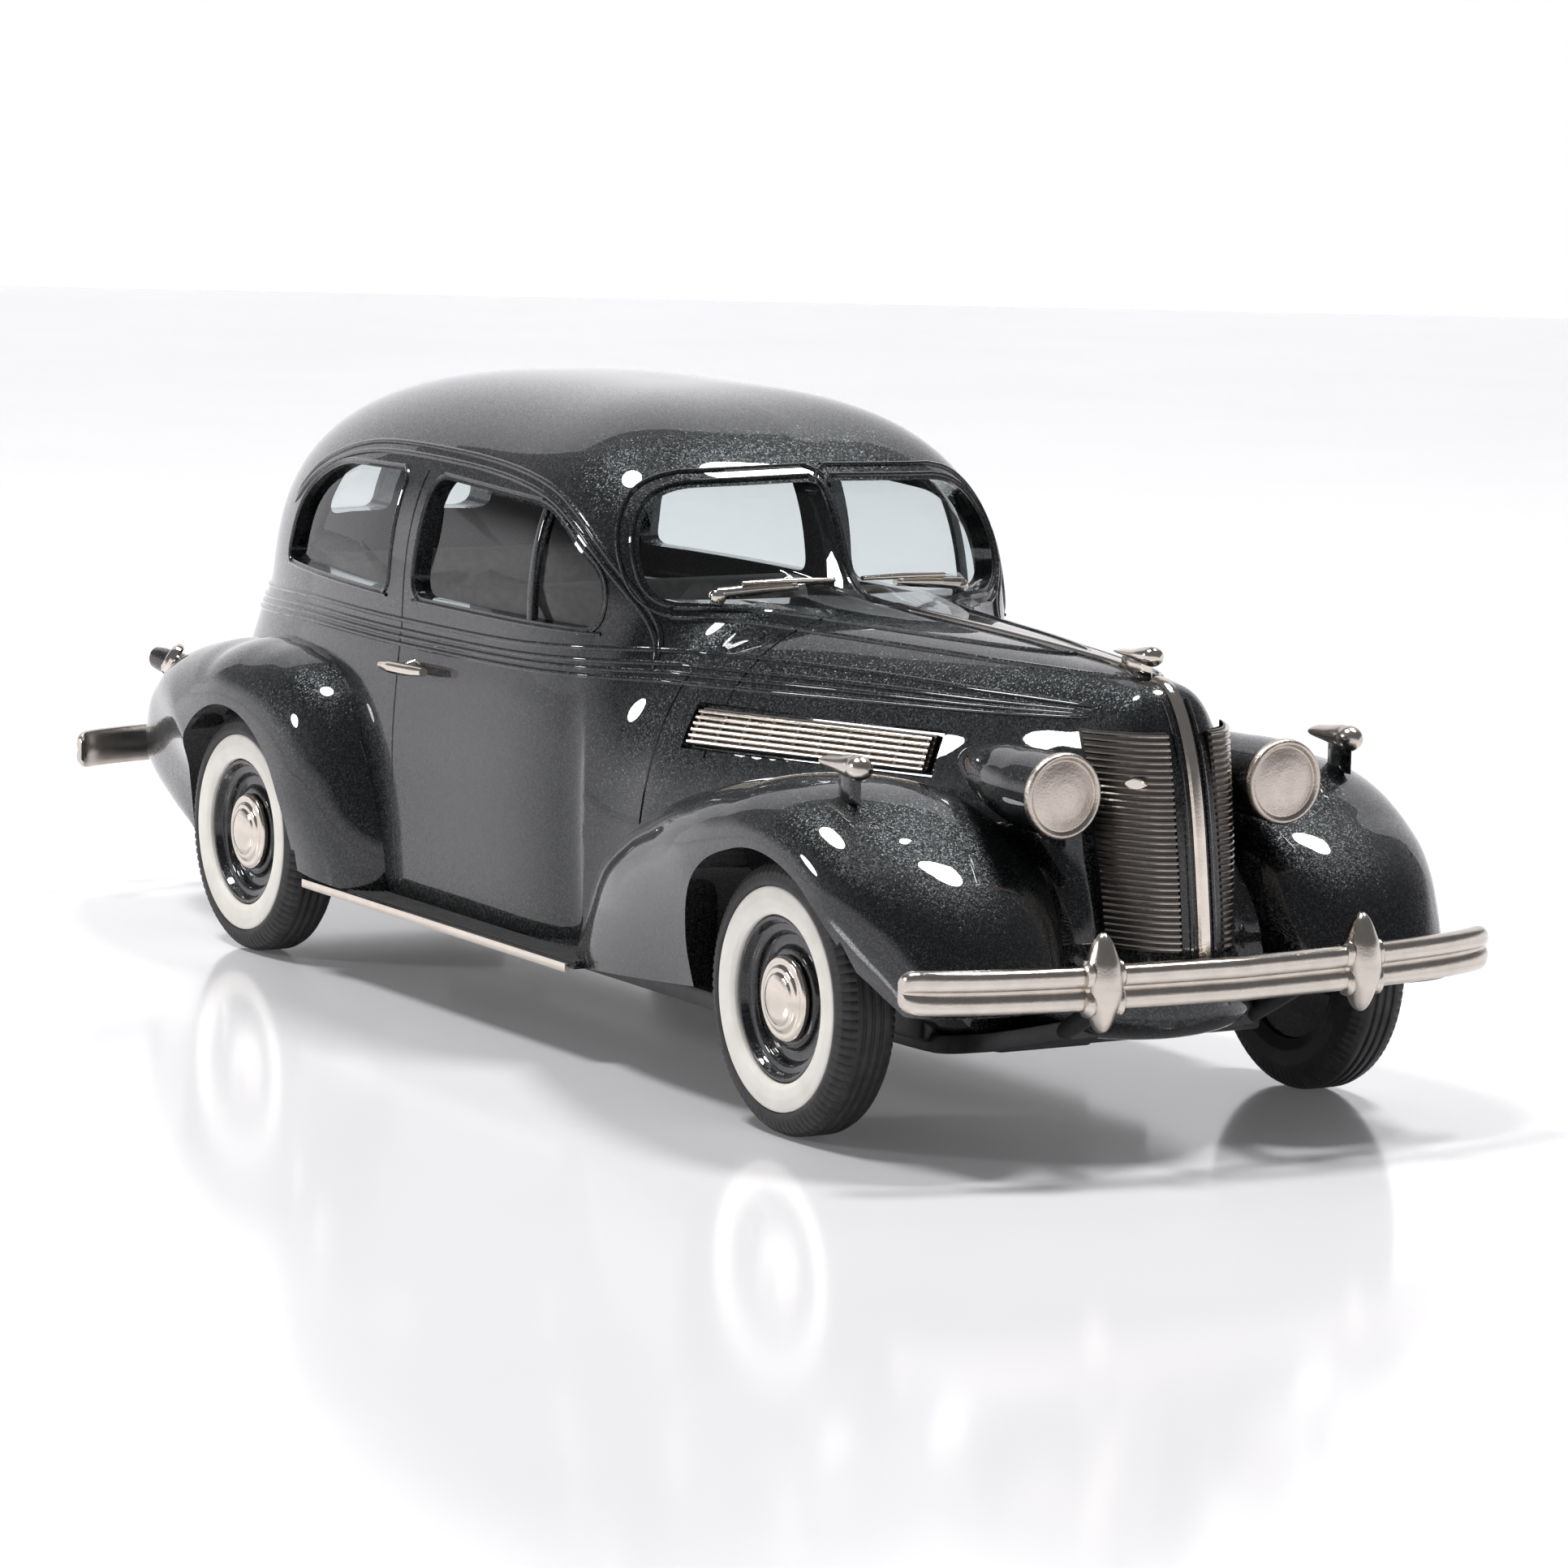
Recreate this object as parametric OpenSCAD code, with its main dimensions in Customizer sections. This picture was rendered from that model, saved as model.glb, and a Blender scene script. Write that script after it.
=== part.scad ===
// Collector's scale model of a late-1930s two-door sedan, about 1:43.
// Millimetres. +X is the car's front, +Y its left side, +Z up.
// The origin is on the ground, at the middle of the overall length and width.

/* [Proportions] */
// Distance between the axles
wheelbase = 72; // [70:0.5:74]
// Front axle, measured from the middle of the car
front_axle_x = 41.5; // [40:0.5:43]
// Tip of a bumper guard, from the middle of the car
guard_tip_x = 60.9; // [60:0.1:62]
// Height of the roof's top
roof_top = 40.2; // [39:0.1:42]
// Height of the belt line under the windows
belt_z = 24; // [23.5:0.1:24.5]
// Half width of the body at the belt line
belt_half_w = 16.8; // [16.4:0.1:17.2]
// Half width over the fenders
fender_half_w = 21.4; // [21:0.1:22]

/* [Wheels] */
// Outer radius of a tyre
tyre_r = 8.15; // [7.9:0.05:8.3]
// Width of a tyre
tyre_w = 4; // [3.6:0.1:4.2]
// Outer face of a tyre, from the car's centre
wheel_face_y = 20; // [19.6:0.1:20.1]
// Outer radius of the white sidewall ring
whitewall_r = 6.65; // [6.3:0.05:6.9]
// Outer radius of the painted rim
rim_r = 4.95; // [4.6:0.05:5.2]
// Radius of the hubcap
hubcap_r = 2.6; // [2.3:0.1:2.9]
// Radius of an axle rod
axle_r = 0.8; // [0.6:0.05:1]

/* [Trim] */
// Radius of a headlamp rim
headlamp_r = 2.55; // [2.3:0.05:2.8]
// Number of bars in one grille panel
grille_bars = 33; // [20:1:36]
// Number of ribs in a hood louvre
louvre_ribs = 6; // [4:1:8]
// Half width of a bumper
bumper_half_w = 20.4; // [19:0.1:21]

/* [Body] */
// Wall thickness of the cast body
wall = 1.2; // [0.9:0.1:1.4]
// Thickness of a window pane
glass_t = 0.4; // [0.3:0.05:0.5]
// Gap between a pane and its opening
pane_gap = 0.03; // [0.02:0.01:0.06]
// Radial clearance of an axle in its bearing
running_gap = 0.05; // [0.02:0.01:0.1]

/* [Hidden] */
$fn = 32;

paint = [0.05, 0.055, 0.06];
nickel = [0.78, 0.74, 0.68];
clear = [0.8, 0.85, 0.85, 0.4];
fabric = [0.3, 0.28, 0.26];
rubber = [0.07, 0.07, 0.07];

rear_axle_x = front_axle_x - wheelbase;
wheel_z = tyre_r;
widest_x = -8;          // where the cabin is widest
base_z = 4.6;           // underside of the flat base
base_t = 1.15;          // thickness of the base
sill_z = 5.8;           // lower edge of the body
screw_front_x = 31;     // the two screws that hold the base
screw_rear_x = -48;
nose_z0 = 8.7;          // lower end of the nose
door_line_x = -13;      // rear edge of a door

// ---------- curves ----------
// A smooth curve through a table of [position, value] points
function seg(t, x, i = 0) = (i >= len(t) - 2 || x < t[i + 1][0]) ? i : seg(t, x, i + 1);
function rise(t, i) = (t[i + 1][1] - t[i][1]) / (t[i + 1][0] - t[i][0]);
function slope(t, i) =
    i == 0 ? rise(t, 0) :
    i == len(t) - 1 ? rise(t, i - 1) :
    let (a = rise(t, i - 1), b = rise(t, i)) a * b <= 0 ? 0 : 2 * a * b / (a + b);
function curve(t, x) =
    let (i = seg(t, x), h = t[i + 1][0] - t[i][0], s = min(1, max(0, (x - t[i][0]) / h)))
    (1 + 2 * s) * (1 - s) * (1 - s) * t[i][1] + s * (1 - s) * (1 - s) * h * slope(t, i)
    + s * s * (3 - 2 * s) * t[i + 1][1] + s * s * (s - 1) * h * slope(t, i + 1);
// 1 at the middle, falling to 0 at s = 1 like a superellipse
function dome(s, n) = pow(max(0, 1 - pow(min(1, abs(s)), n)), 1 / n);
function super(c, s, n) = pow(pow(abs(c), n) + pow(abs(s), n), -1 / n);

// A closed solid through rings that all have the same number of points
module loft(rings) {
    n = len(rings[0]);
    m = len(rings);
    polyhedron(
        points = [for (r = rings) for (p = r) p],
        faces = concat(
            [[for (j = [0:n - 1]) j]],
            [for (i = [0:m - 2]) for (j = [0:n - 1]) let (k = (j + 1) % n)
                [i * n + j, (i + 1) * n + k, i * n + k]],
            [for (i = [0:m - 2]) for (j = [0:n - 1]) let (k = (j + 1) % n)
                [i * n + j, (i + 1) * n + j, (i + 1) * n + k]],
            [[for (j = [n - 1:-1:0]) (m - 1) * n + j]]),
        convexity = 8);
}
module both_sides() {
    children();
    mirror([0, 1, 0]) children();
}

// ---------- cabin and lower body ----------
TAIL = [[4, -50], [8, -55.2], [12, -56.6], [16, -56], [20, -53.6], [24, -50.8]];
SIDE = [[4, 16.7], [10, 17.2], [16, 17.4], [21, 17.1], [24, 16.8]];
// A plan section, squarer in front than behind
function plan(xf, xr, b, z, n = 40) =
    [for (i = [0:n - 1])
        let (a = 360 * i / n, c = cos(a), s = sin(a), r = super(c, s, c >= 0 ? 4.8 : 2.5))
        [widest_x + (c >= 0 ? xf - widest_x : widest_x - xr) * c * r, b * s * r, z]];
// The cabin's section a share s of the way up from the belt, shrunk by t all round
function cabin_ring(s, t, n) =
    plan(widest_x + (23.9 - t) * dome(s, 2.9) * (1 - 0.03 * s),
         widest_x - (42.8 - t) * dome(s, 2.9) * (1 - 0.085 * s),
         (belt_half_w - t) * dome(s, 2.85) * (1 - 0.02 * s),
         belt_z + (roof_top - t - belt_z) * s, n);
function body_half_w(z) = curve(SIDE, z) * belt_half_w / 16.8;
function body_ring(z, t, n) = plan(15.9 - t, curve(TAIL, z) + t, body_half_w(z) - t, z, n);
module cabin(t = 0, bottom = 5, n = 40, rings = 8) {
    loft(concat([for (i = [0:3]) body_ring(bottom + (belt_z - bottom) * i / 4, t, n)],
                [for (i = [0:rings]) cabin_ring(1 - pow(1 - i / (rings + 1), 2), t, n)],
                [cabin_ring(0.9985, t, n)]));
}
module cavity() {
    intersection() {
        cabin(wall, 3.3, 24, 5);
        translate([-53, -30, 0]) cube([66.6, 60, 60]);
    }
    intersection() {
        hood(wall, 50.8, 4);
        translate([14.5, -30, 0]) cube([31, 60, 60]);
    }
}
// Half width beside the doors at height z
function side_y(z) = z < belt_z ? body_half_w(z) :
    let (s = (z - belt_z) / (roof_top - belt_z)) belt_half_w * dome(s, 2.85) * (1 - 0.02 * s);

// ---------- hood and nose ----------
HOOD_TOP = [[10, 28.9], [21.5, 28.3], [35, 28], [46, 27.6], [50, 27.1], [52, 26.6]];
HOOD_W = [[10, 16.2], [17, 15.8], [22, 14.7], [30, 12.3], [40, 9.2], [47, 6.6], [52, 4.6]];
NOSE = [[nose_z0, 56.7], [11.9, 56.5], [16, 56], [21.5, 55.1], [24.5, 54.3], [26.4, 53.2], [27, 52.2]];
GRILLE_OUT = [[nose_z0, 4], [12, 4.15], [24.5, 4.9], [26, 4.6], [27, 3.4]];
function hood_ring(x, t, n = 16) =
    let (w = curve(HOOD_W, x) - t, top = curve(HOOD_TOP, x) - t)
    [for (i = [0:n]) let (a = 180 * i / n, c = cos(a), s = sin(a), r = super(c, s, 2.7))
        [x, w * c * r, nose_z0 + (top - nose_z0) * s * r]];
module hood(t = 0, x1 = 50.8, steps = 8) {
    loft([for (i = [0:steps]) hood_ring(10 + (x1 - 10) * i / steps, t)]);
}
function hood_y(x, z) = curve(HOOD_W, x) * dome((z - nose_z0) / (curve(HOOD_TOP, x) - nose_z0), 2.7);
// Nose section at height z, drawn back by t: flat middle, two slanted grille faces, then square sides
function nose_ring(z, t = 0) =
    let (xc = curve(NOSE, z) - t, w = curve(GRILLE_OUT, z), xo = xc - 3.75)
    [[46, w + 0.6, z], [46, -w - 0.6, z], [xo, -w, z], [xc - 1.9, -w * 0.84, z], [xc - 0.55, -w * 0.55, z],
     [xc - 0.2, -1.4, z], [xc, -0.45, z], [xc, 0.45, z], [xc - 0.2, 1.4, z],
     [xc - 0.55, w * 0.55, z], [xc - 1.9, w * 0.84, z], [xo, w, z]];
module nose() {
    loft([for (z = [nose_z0, 12, 16, 20, 23, 24.5, 24.55, 25.6, 26.4, 27]) nose_ring(z, z > 24.5 ? 0 : 0.3)]);
}

// ---------- fenders ----------
// Each table runs by angle round the axle: 0 is forward, 90 up and 180 back
FRONT_CROWN = [[4, 16], [25, 14.9], [40, 13.8], [52, 13.1], [64, 12.9], [90, 12.85], [114, 13.5], [135, 15.7],
               [154, 20.3], [164, 24.2], [171, 27.1], [180, 29.4], [185, 31]];
FRONT_ARCH = [[4, 12.2], [10, 10.6], [25, 8.9], [68, 8.8], [109, 9.1], [142, 10.1], [185, 10.4]];
FRONT_MID = [[4, 13.3], [40, 13.5], [90, 14.5], [140, 15.6], [185, 15.6]];
FRONT_EDGE = [[4, 18.6], [25, 20.2], [50, 21.2], [90, 21.4], [140, 21.2], [165, 20.4], [185, 19.5]];
REAR_CROWN = [[-8, 16.3], [3, 16.1], [22, 15.4], [42, 15.4], [56, 14.8], [71, 13.8], [88, 13.2], [110, 13.4],
              [126, 15], [140, 17.4], [155, 21.4], [165, 24], [172, 24.6], [180, 20], [187, 14.4]];
REAR_ARCH = [[-8, 8.9], [68, 8.7], [108, 8.8], [144, 9.5], [172, 11.2], [187, 12.6]];
REAR_MID = [[-8, 15.5], [90, 15], [150, 14.4], [187, 13.5]];
REAR_EDGE = [[-8, 20.2], [30, 21.2], [90, 21.3], [140, 20.8], [165, 18.9], [187, 17.4]];
module fender(x, crown, arch, mid, edge, a0, a1, steps, n = 9) {
    k = fender_half_w / 21.4;
    loft([for (i = [0:steps]) let (a = a0 + (a1 - a0) * i / steps, ro = curve(crown, a),
            ri = curve(arch, a), c = curve(mid, a), w = curve(edge, a) * k - c)
        [for (j = [0:n]) let (u = sin(90 * (2 * j / n - 1)), r = ri + (ro - ri) * dome(u, 2.3))
            [x + r * cos(a), c + w * u, wheel_z + r * sin(a)]]]);
}
module fender_pair() {
    both_sides() {
        fender(front_axle_x, FRONT_CROWN, FRONT_ARCH, FRONT_MID, FRONT_EDGE, 4, 185, 14);
        fender(rear_axle_x, REAR_CROWN, REAR_ARCH, REAR_MID, REAR_EDGE, -8, 187, 15);
        // bulge beside the grille
        hull() {
            translate([44.5, 7.6, 12.5]) scale([1.1, 0.75, 0.85]) sphere(r = 6.6, $fn = 20);
            translate([32, 9, 12]) sphere(r = 4.6, $fn = 14);
        }
    }
}
module wheel_wells() {
    for (x = [front_axle_x, rear_axle_x]) both_sides() translate([x, 16.45, wheel_z]) rotate([90, 0, 0]) {
        cylinder(r = 9.4, h = 7.9, center = true, $fn = 40);
        translate([-9.4, -12, -3.95]) cube([18.8, 12, 7.9]);
    }
}

// ---------- lamps, boards and posts of the casting ----------
lamp_y = 7.72;
lamp_z = 21;
lamp_x = 52.6;          // back of a headlamp disc
module lamp_pods() {
    both_sides() hull() {
        translate([lamp_x - 0.4, lamp_y, lamp_z]) rotate([0, 90, 0]) cylinder(r = 2.35, h = 0.35, $fn = 24);
        translate([48.5, lamp_y, lamp_z]) sphere(r = 2.35, $fn = 20);
        translate([41.5, 7.2, lamp_z + 0.3]) sphere(r = 1, $fn = 12);
    }
}
board_half_w = 19.1;
module boards() {
    both_sides() translate([-20.6, 14, sill_z - 0.78]) cube([35.8, board_half_w - 14, 1.1]);
}
tail_x = -56.4;         // back of a tail lamp pod
tail_y = 14;
tail_z = 16.8;
module tail_pods() {
    both_sides() hull() {
        translate([tail_x, tail_y, tail_z]) rotate([0, 90, 0]) cylinder(r = 0.75, h = 0.3, $fn = 14);
        translate([-52, tail_y - 0.4, tail_z]) sphere(r = 0.9, $fn = 12);
        translate([-49, tail_y - 1, tail_z - 0.5]) sphere(r = 0.6, $fn = 10);
    }
}
DRIP = [[-32.9, 32.1], [-22.3, 35.3], [-8.7, 35.5], [2.8, 34.6], [7.5, 32.9], [12, 28.6], [13.4, 25]];
module drip_rails() {
    both_sides() for (i = [0:len(DRIP) - 2]) hull() for (p = [DRIP[i], DRIP[i + 1]])
        let (inset = p[0] > 5 ? 1 - 0.012 * (p[0] - 5) : p[0] < -25 ? 0.94 : 0.985)
            translate([p[0], side_y(p[1]) * inset, p[1]]) sphere(r = 0.38, $fn = 6);
}
// ---------- openings ----------
DOOR_WINDOW = [[-10.4, 27.3], [-9.9, 32.7], [4, 32.3], [8.9, 28.8], [9.3, 27.5]];
QUARTER_WINDOW = [[-31, 27.6], [-29.4, 30.4], [-24.6, 32.4], [-17.2, 32.7], [-16.9, 27.3]];
WINDSCREEN = [[1.3, 29.6], [1.3, 34.3], [10.1, 33.7], [10.8, 29.8]];
REAR_WINDOW = [[1.4, 28.8], [1.4, 31.6], [5.4, 31.2], [5.8, 28.8]];
// A rounded opening or pane standing across Y, from y0 to y1
module across_y(corners, r, y0, y1) {
    hull() for (q = corners)
        translate([q[0], y1, q[1]]) rotate([90, 0, 0]) cylinder(r = r, h = y1 - y0, $fn = 20);
}
module across_x(corners, r, x0, x1) {
    hull() for (q = corners)
        translate([x0, q[0], q[1]]) rotate([0, 90, 0]) cylinder(r = r, h = x1 - x0, $fn = 20);
}
module openings() {
    both_sides() {
        across_y(DOOR_WINDOW, 1.2, 11, 22);
        across_y(QUARTER_WINDOW, 1.2, 11, 22);
        across_x(WINDSCREEN, 0.95, 3, 20);
        across_x(REAR_WINDOW, 0.8, -60, -36);
    }
}
groove = 0.2;
module door_line(x, z0, z1) {
    steps = 5;
    translate([x + groove, 0, 0]) rotate([0, -90, 0]) linear_extrude(groove)
        polygon(concat([for (i = [0:steps]) let (z = z0 + (z1 - z0) * i / steps) [z, side_y(z) - groove]],
                       [[z1, 22], [z0, 22]]));
}
module door_lines() {
    both_sides() {
        door_line(door_line_x, sill_z + 1.3, 33.4);
        translate([door_line_x, body_half_w(7) - groove, sill_z + 1.3]) cube([24, 4, groove]);
    }
}

// ---------- body ----------
module body_shell() color(paint) difference() {
    union() {
        difference() {
            union() {
                cabin();
                hood();
                nose();
                fender_pair();
                lamp_pods();
                tail_pods();
                boards();
            }
            door_lines();
            both_sides() louvre(0.05);
            cavity();
            openings();
        }
        drip_rails();
        translate([screw_front_x, 0, 0]) cylinder(r = 1.9, h = 27.4, $fn = 16);
        translate([screw_rear_x, 0, 0]) cylinder(r = 1.9, h = 26.3, $fn = 16);
    }
    translate([-70, -30, sill_z - 20]) cube([140, 60, 20]);
    wheel_wells();
    // room for the front axle and its bearing blocks
    translate([front_axle_x - 2.6, -13, 0]) cube([5.2, 26, wheel_z + 2.4]);
    for (x = [screw_front_x, screw_rear_x]) translate([x, 0, 0]) cylinder(r = 0.78, h = sill_z + 5, $fn = 20);
}

// ---------- base ----------
carrier_y = 7;          // inner face of a bearing block
carrier_w = 4;
shaft_r = 0.8;          // propeller shaft
silencer_r = 1.1;
pipe_r = 0.5;           // exhaust pipe
exhaust_y = -8;
module bearing_block(x) {
    both_sides() translate([x - 2.2, carrier_y, base_z]) cube([4.4, carrier_w, wheel_z + 1.9 - base_z]);
    translate([x, carrier_y + 1, wheel_z]) rotate([90, 0, 0]) cylinder(r = 1.6, h = 2 * carrier_y + 2);
}
module baseplate() color([0.09, 0.09, 0.095]) difference() {
    union() {
        translate([0, 0, base_z]) linear_extrude(base_t)
            polygon([[-53, -8], [-50, -11.5], [-22, -11.5], [-19, -15.4], [29, -15.4], [31, -11.5],
                     [50, -10.5], [54, -6], [54, 6], [50, 10.5], [31, 11.5], [29, 15.4],
                     [-19, 15.4], [-22, 11.5], [-50, 11.5], [-53, 8]]);
        bearing_block(front_axle_x);
        bearing_block(rear_axle_x);
        // sump, gearbox, propeller shaft, axle casing and fuel tank in relief
        translate([28, -3.5, 3.4]) cube([12, 7, 1.6]);
        translate([20, -2, 3.8]) cube([8, 4, 1]);
        translate([-30, 0, base_z]) rotate([0, 90, 0]) cylinder(r = shaft_r, h = 52);
        translate([-34, -2.2, 3.6]) cube([7, 4.4, 1.2]);
        translate([-52, -8, 3.7]) cube([8, 16, 1.1]);
        // silencer and pipe in relief
        translate([-20, exhaust_y, base_z]) rotate([0, 90, 0]) cylinder(r = silencer_r, h = 14);
        translate([-54, exhaust_y, base_z]) rotate([0, 90, 0]) cylinder(r = pipe_r, h = 82);
    }
    for (x = [front_axle_x, rear_axle_x]) translate([x, 20, wheel_z]) rotate([90, 0, 0])
        cylinder(r = axle_r + running_gap, h = 40);
    for (x = [screw_front_x, screw_rear_x]) translate([x, 0, 0]) {
        cylinder(r = 0.9, h = 10);
        cylinder(r = 1.7, h = base_z + 0.45);
    }
}
module base_screws() color(nickel)
    for (x = [screw_front_x, screw_rear_x]) translate([x, 0, base_z - 0.35]) difference() {
        union() {
            cylinder(r = 1.6, h = 0.8);
            cylinder(r = 0.75, h = 5.5);
        }
        translate([-1.7, -0.18, -0.1]) cube([3.4, 0.36, 0.45]);
    }

// ---------- glass ----------
module side_pane(corners) {
    r = 1.2 - pane_gap;
    hull() for (q = corners)
        translate([q[0], side_y(q[1] + 0.6) - 0.9 + glass_t - (q[0] < -25 ? 0.7 : 0), q[1]])
            rotate([90, 0, 0]) cylinder(r = r, h = glass_t, $fn = 20);
}
module screen_pane() {
    hull() for (q = WINDSCREEN)
        translate([13.6 - (q[1] - 29.6) * 0.62 - pow(q[0] / 11, 3) * 1.1, q[0], q[1]])
            rotate([0, 90, 0]) cylinder(r = 0.95 - pane_gap, h = glass_t, $fn = 20);
}
module rear_pane() {
    hull() for (q = REAR_WINDOW) translate([-46.4 + (q[1] - 28.8) * 0.5, q[0], q[1]])
        rotate([0, 90, 0]) cylinder(r = 0.8 - pane_gap, h = glass_t, $fn = 20);
}
module on_right() mirror([0, 1, 0]) children();
module windscreen_left() color(clear) screen_pane();
module windscreen_right() color(clear) on_right() screen_pane();
module door_glass_left() color(clear) side_pane(DOOR_WINDOW);
module door_glass_right() color(clear) on_right() side_pane(DOOR_WINDOW);
module quarter_glass_left() color(clear) side_pane(QUARTER_WINDOW);
module quarter_glass_right() color(clear) on_right() side_pane(QUARTER_WINDOW);
module rear_glass_left() color(clear) rear_pane();
module rear_glass_right() color(clear) on_right() rear_pane();

// ---------- inside ----------
tub_z = 10.5;
TUB = [[-43, 9], [-40, 11.2], [-30, 13.7], [-20, 14.9], [1, 14.9], [8, 13.2], [11, 10.8], [12.6, 7]];
module tub_outline(t) {
    edge = [for (p = TUB) [p[0] > 0 ? p[0] - t : p[0] < -21 ? p[0] + t : p[0], p[1] - t]];
    polygon(concat(edge, [for (i = [len(edge) - 1:-1:0]) [edge[i][0], -edge[i][1]]]));
}
module interior_tub() color(fabric) difference() {
    translate([0, 0, tub_z]) linear_extrude(13.6) tub_outline(0);
    translate([0, 0, tub_z + 0.8]) linear_extrude(30) tub_outline(0.8);
}
module bench(x, width) {
    hull() for (p = [[0, 1.4], [9, 1.6], [9, 4.6], [0, 3.8]])
        translate([x + p[0], width / 2, tub_z + 0.85 + p[1]]) rotate([90, 0, 0])
            cylinder(r = 1.3, h = width, $fn = 16);
}
module seat_back(x, width, top) {
    hull() for (p = [[0, tub_z + 2.3], [-3.2, top - 1.3], [-1.6, top - 1.3], [2, tub_z + 5]])
        translate([x + p[0], width / 2, p[1]]) rotate([90, 0, 0]) cylinder(r = 1.3, h = width, $fn = 16);
}
module front_seat() color(fabric) union() {
    bench(-9, 25);
    seat_back(-10, 25, 26.4);
}
module rear_seat() color(fabric) union() {
    bench(-34, 21);
    seat_back(-34, 21, 26.2);
}
module dashboard() color(paint) difference() {
    hull() for (p = [[9.6, 25], [8.3, 22.2], [9.6, 20.4]]) translate([p[0], 8.5, p[1]])
        rotate([90, 0, 0]) cylinder(r = 0.8, h = 17, $fn = 16);
    at_hub() translate([0, 0, -14]) cylinder(r = 0.45, h = 16, $fn = 20);
}
wheel_y = 6.6;
hub_x = 4.6;
hub_z = 24.6;
column_tilt = 50;
module at_hub() translate([hub_x, wheel_y, hub_z]) rotate([0, -column_tilt, 0]) children();
module steering_column() color(paint) at_hub() translate([0, 0, -8.4]) cylinder(r = 0.4, h = 8.1, $fn = 20);
module steering_wheel() color([0.9, 0.85, 0.7]) at_hub() union() {
    rotate_extrude($fn = 40) translate([3.9, 0]) circle(r = 0.32, $fn = 14);
    translate([0, 0, -0.25]) cylinder(r = 0.75, h = 0.5);
    for (a = [90, 210, 330]) rotate([0, 0, a]) translate([0.5, 0, 0]) rotate([0, 90, 0])
        cylinder(r = 0.16, h = 3.3, $fn = 13);
}

// ---------- plated trim ----------
// One grille panel: horizontal bars with V grooves between them
module grille_panel() {
    z0 = 11.9;
    pitch = (24.45 - z0) / grille_bars;
    loft([for (k = [0:2 * grille_bars]) let (z = z0 + k * pitch / 2, t = (k % 2 == 0) ? 0.12 : -0.12,
            xc = curve(NOSE, z) - t, w = curve(GRILLE_OUT, z), back = curve(NOSE, z) - 0.28)
        [[back - 0.2, 1.42, z], [xc - 0.2, 1.42, z], [xc - 0.49, w * 0.55 + 0.04, z],
         [xc - 1.84, w * 0.84 + 0.08, z], [xc - 3.5, w + 0.13, z], [back - 3.75, w + 0.02, z],
         [back - 1.9, w * 0.84, z], [back - 0.55, w * 0.55, z]]]);
}
module grille_left() color(nickel) grille_panel();
module grille_right() color(nickel) on_right() grille_panel();
module grille_badge() color(nickel) translate([53.9, -3.35, 21.6]) rotate([0, 0, -44])
    hull() for (d = [-0.75, 0.75])
        translate([0.2, d, 0]) rotate([0, 90, 0]) cylinder(r = 0.5, h = 0.28, $fn = 20);
function along(t, off) = [for (p = t) [p[0], p[1] + off]];
module nose_strip() color(nickel) translate([0, 0.42, 0]) rotate([90, 0, 0]) linear_extrude(0.84)
    polygon(concat([for (z = [11.4, 13, 16, 19, 21.5, 23.5, 24.5, 25.6, 26.4, 27.1])
                        [curve(NOSE, z) + 0.32, z]],
                   [[51.9, 27.75], [50.9, 27.85], [50.9, 27.32], [51.6, 27.2], [52.3, 27.06]],
                   [for (z = [26.4, 25.6, 24.5, 23.5, 21.5, 19, 16, 13, 11.4]) [curve(NOSE, z) + 0.03, z]]));
module hood_strip() color(nickel) translate([0, 0.28, 0]) rotate([90, 0, 0]) linear_extrude(0.56)
    polygon(concat([for (x = [21.8, 26, 30, 35, 40, 44, 46.6]) [x, curve(HOOD_TOP, x) + 0.3]],
                   [for (x = [46.6, 44, 40, 35, 30, 26, 21.8]) [x, curve(HOOD_TOP, x) + 0.03]]));
module hood_ornament() color(nickel) union() {
    hull() {
        translate([50.35, 0, 28.25]) sphere(r = 0.7, $fn = 20);
        translate([47.4, 0, 28.25]) scale([1, 0.8, 0.3]) sphere(r = 0.7, $fn = 16);
    }
    hull() {
        translate([47.6, 0, 27.62]) cylinder(r = 0.35, h = 0.5, $fn = 16);
        translate([49.8, 0, 27.3]) cylinder(r = 0.42, h = 0.8, $fn = 16);
    }
}
// The louvre's block, grown by g when it is the recess it lies in
module louvre(g = 0) {
    z0 = 20.3 - g;
    h = 2.1 + 2 * g;
    n = 2 * louvre_ribs;
    x0 = 21.6 - g;
    loft([for (i = [0:6]) let (x = x0 + (17.2 + 2 * g) * i / 6, rise = (x - 21.6) * 0.02)
        concat([for (k = [0:n]) let (z = z0 + h * k / n + rise)
                    [x, hood_y(x, z) + (g > 0 ? 1 : k % 2 == 0 ? 0.12 : 0.36), z]],
               [[x, hood_y(x, z0 + h) - 0.25 - g, z0 + h + rise],
                [x, hood_y(x, z0) - 0.25 - g, z0 + rise]])]);
}
module louvre_left() color(nickel) louvre();
module louvre_right() color(nickel) on_right() louvre();
module headlamp() translate([lamp_x, lamp_y, lamp_z]) rotate([0, 90, 0]) rotate_extrude($fn = 40)
    polygon([[0, 0], [headlamp_r - 0.15, 0], [headlamp_r, 0.2], [headlamp_r, 0.42], [headlamp_r - 0.18, 0.6],
             [headlamp_r - 0.4, 0.52], [headlamp_r - 0.46, 0.4], [1.5, 0.66], [0.8, 0.8], [0, 0.84]]);
module headlamp_left() color(nickel) headlamp();
module headlamp_right() color(nickel) on_right() headlamp();
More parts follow.
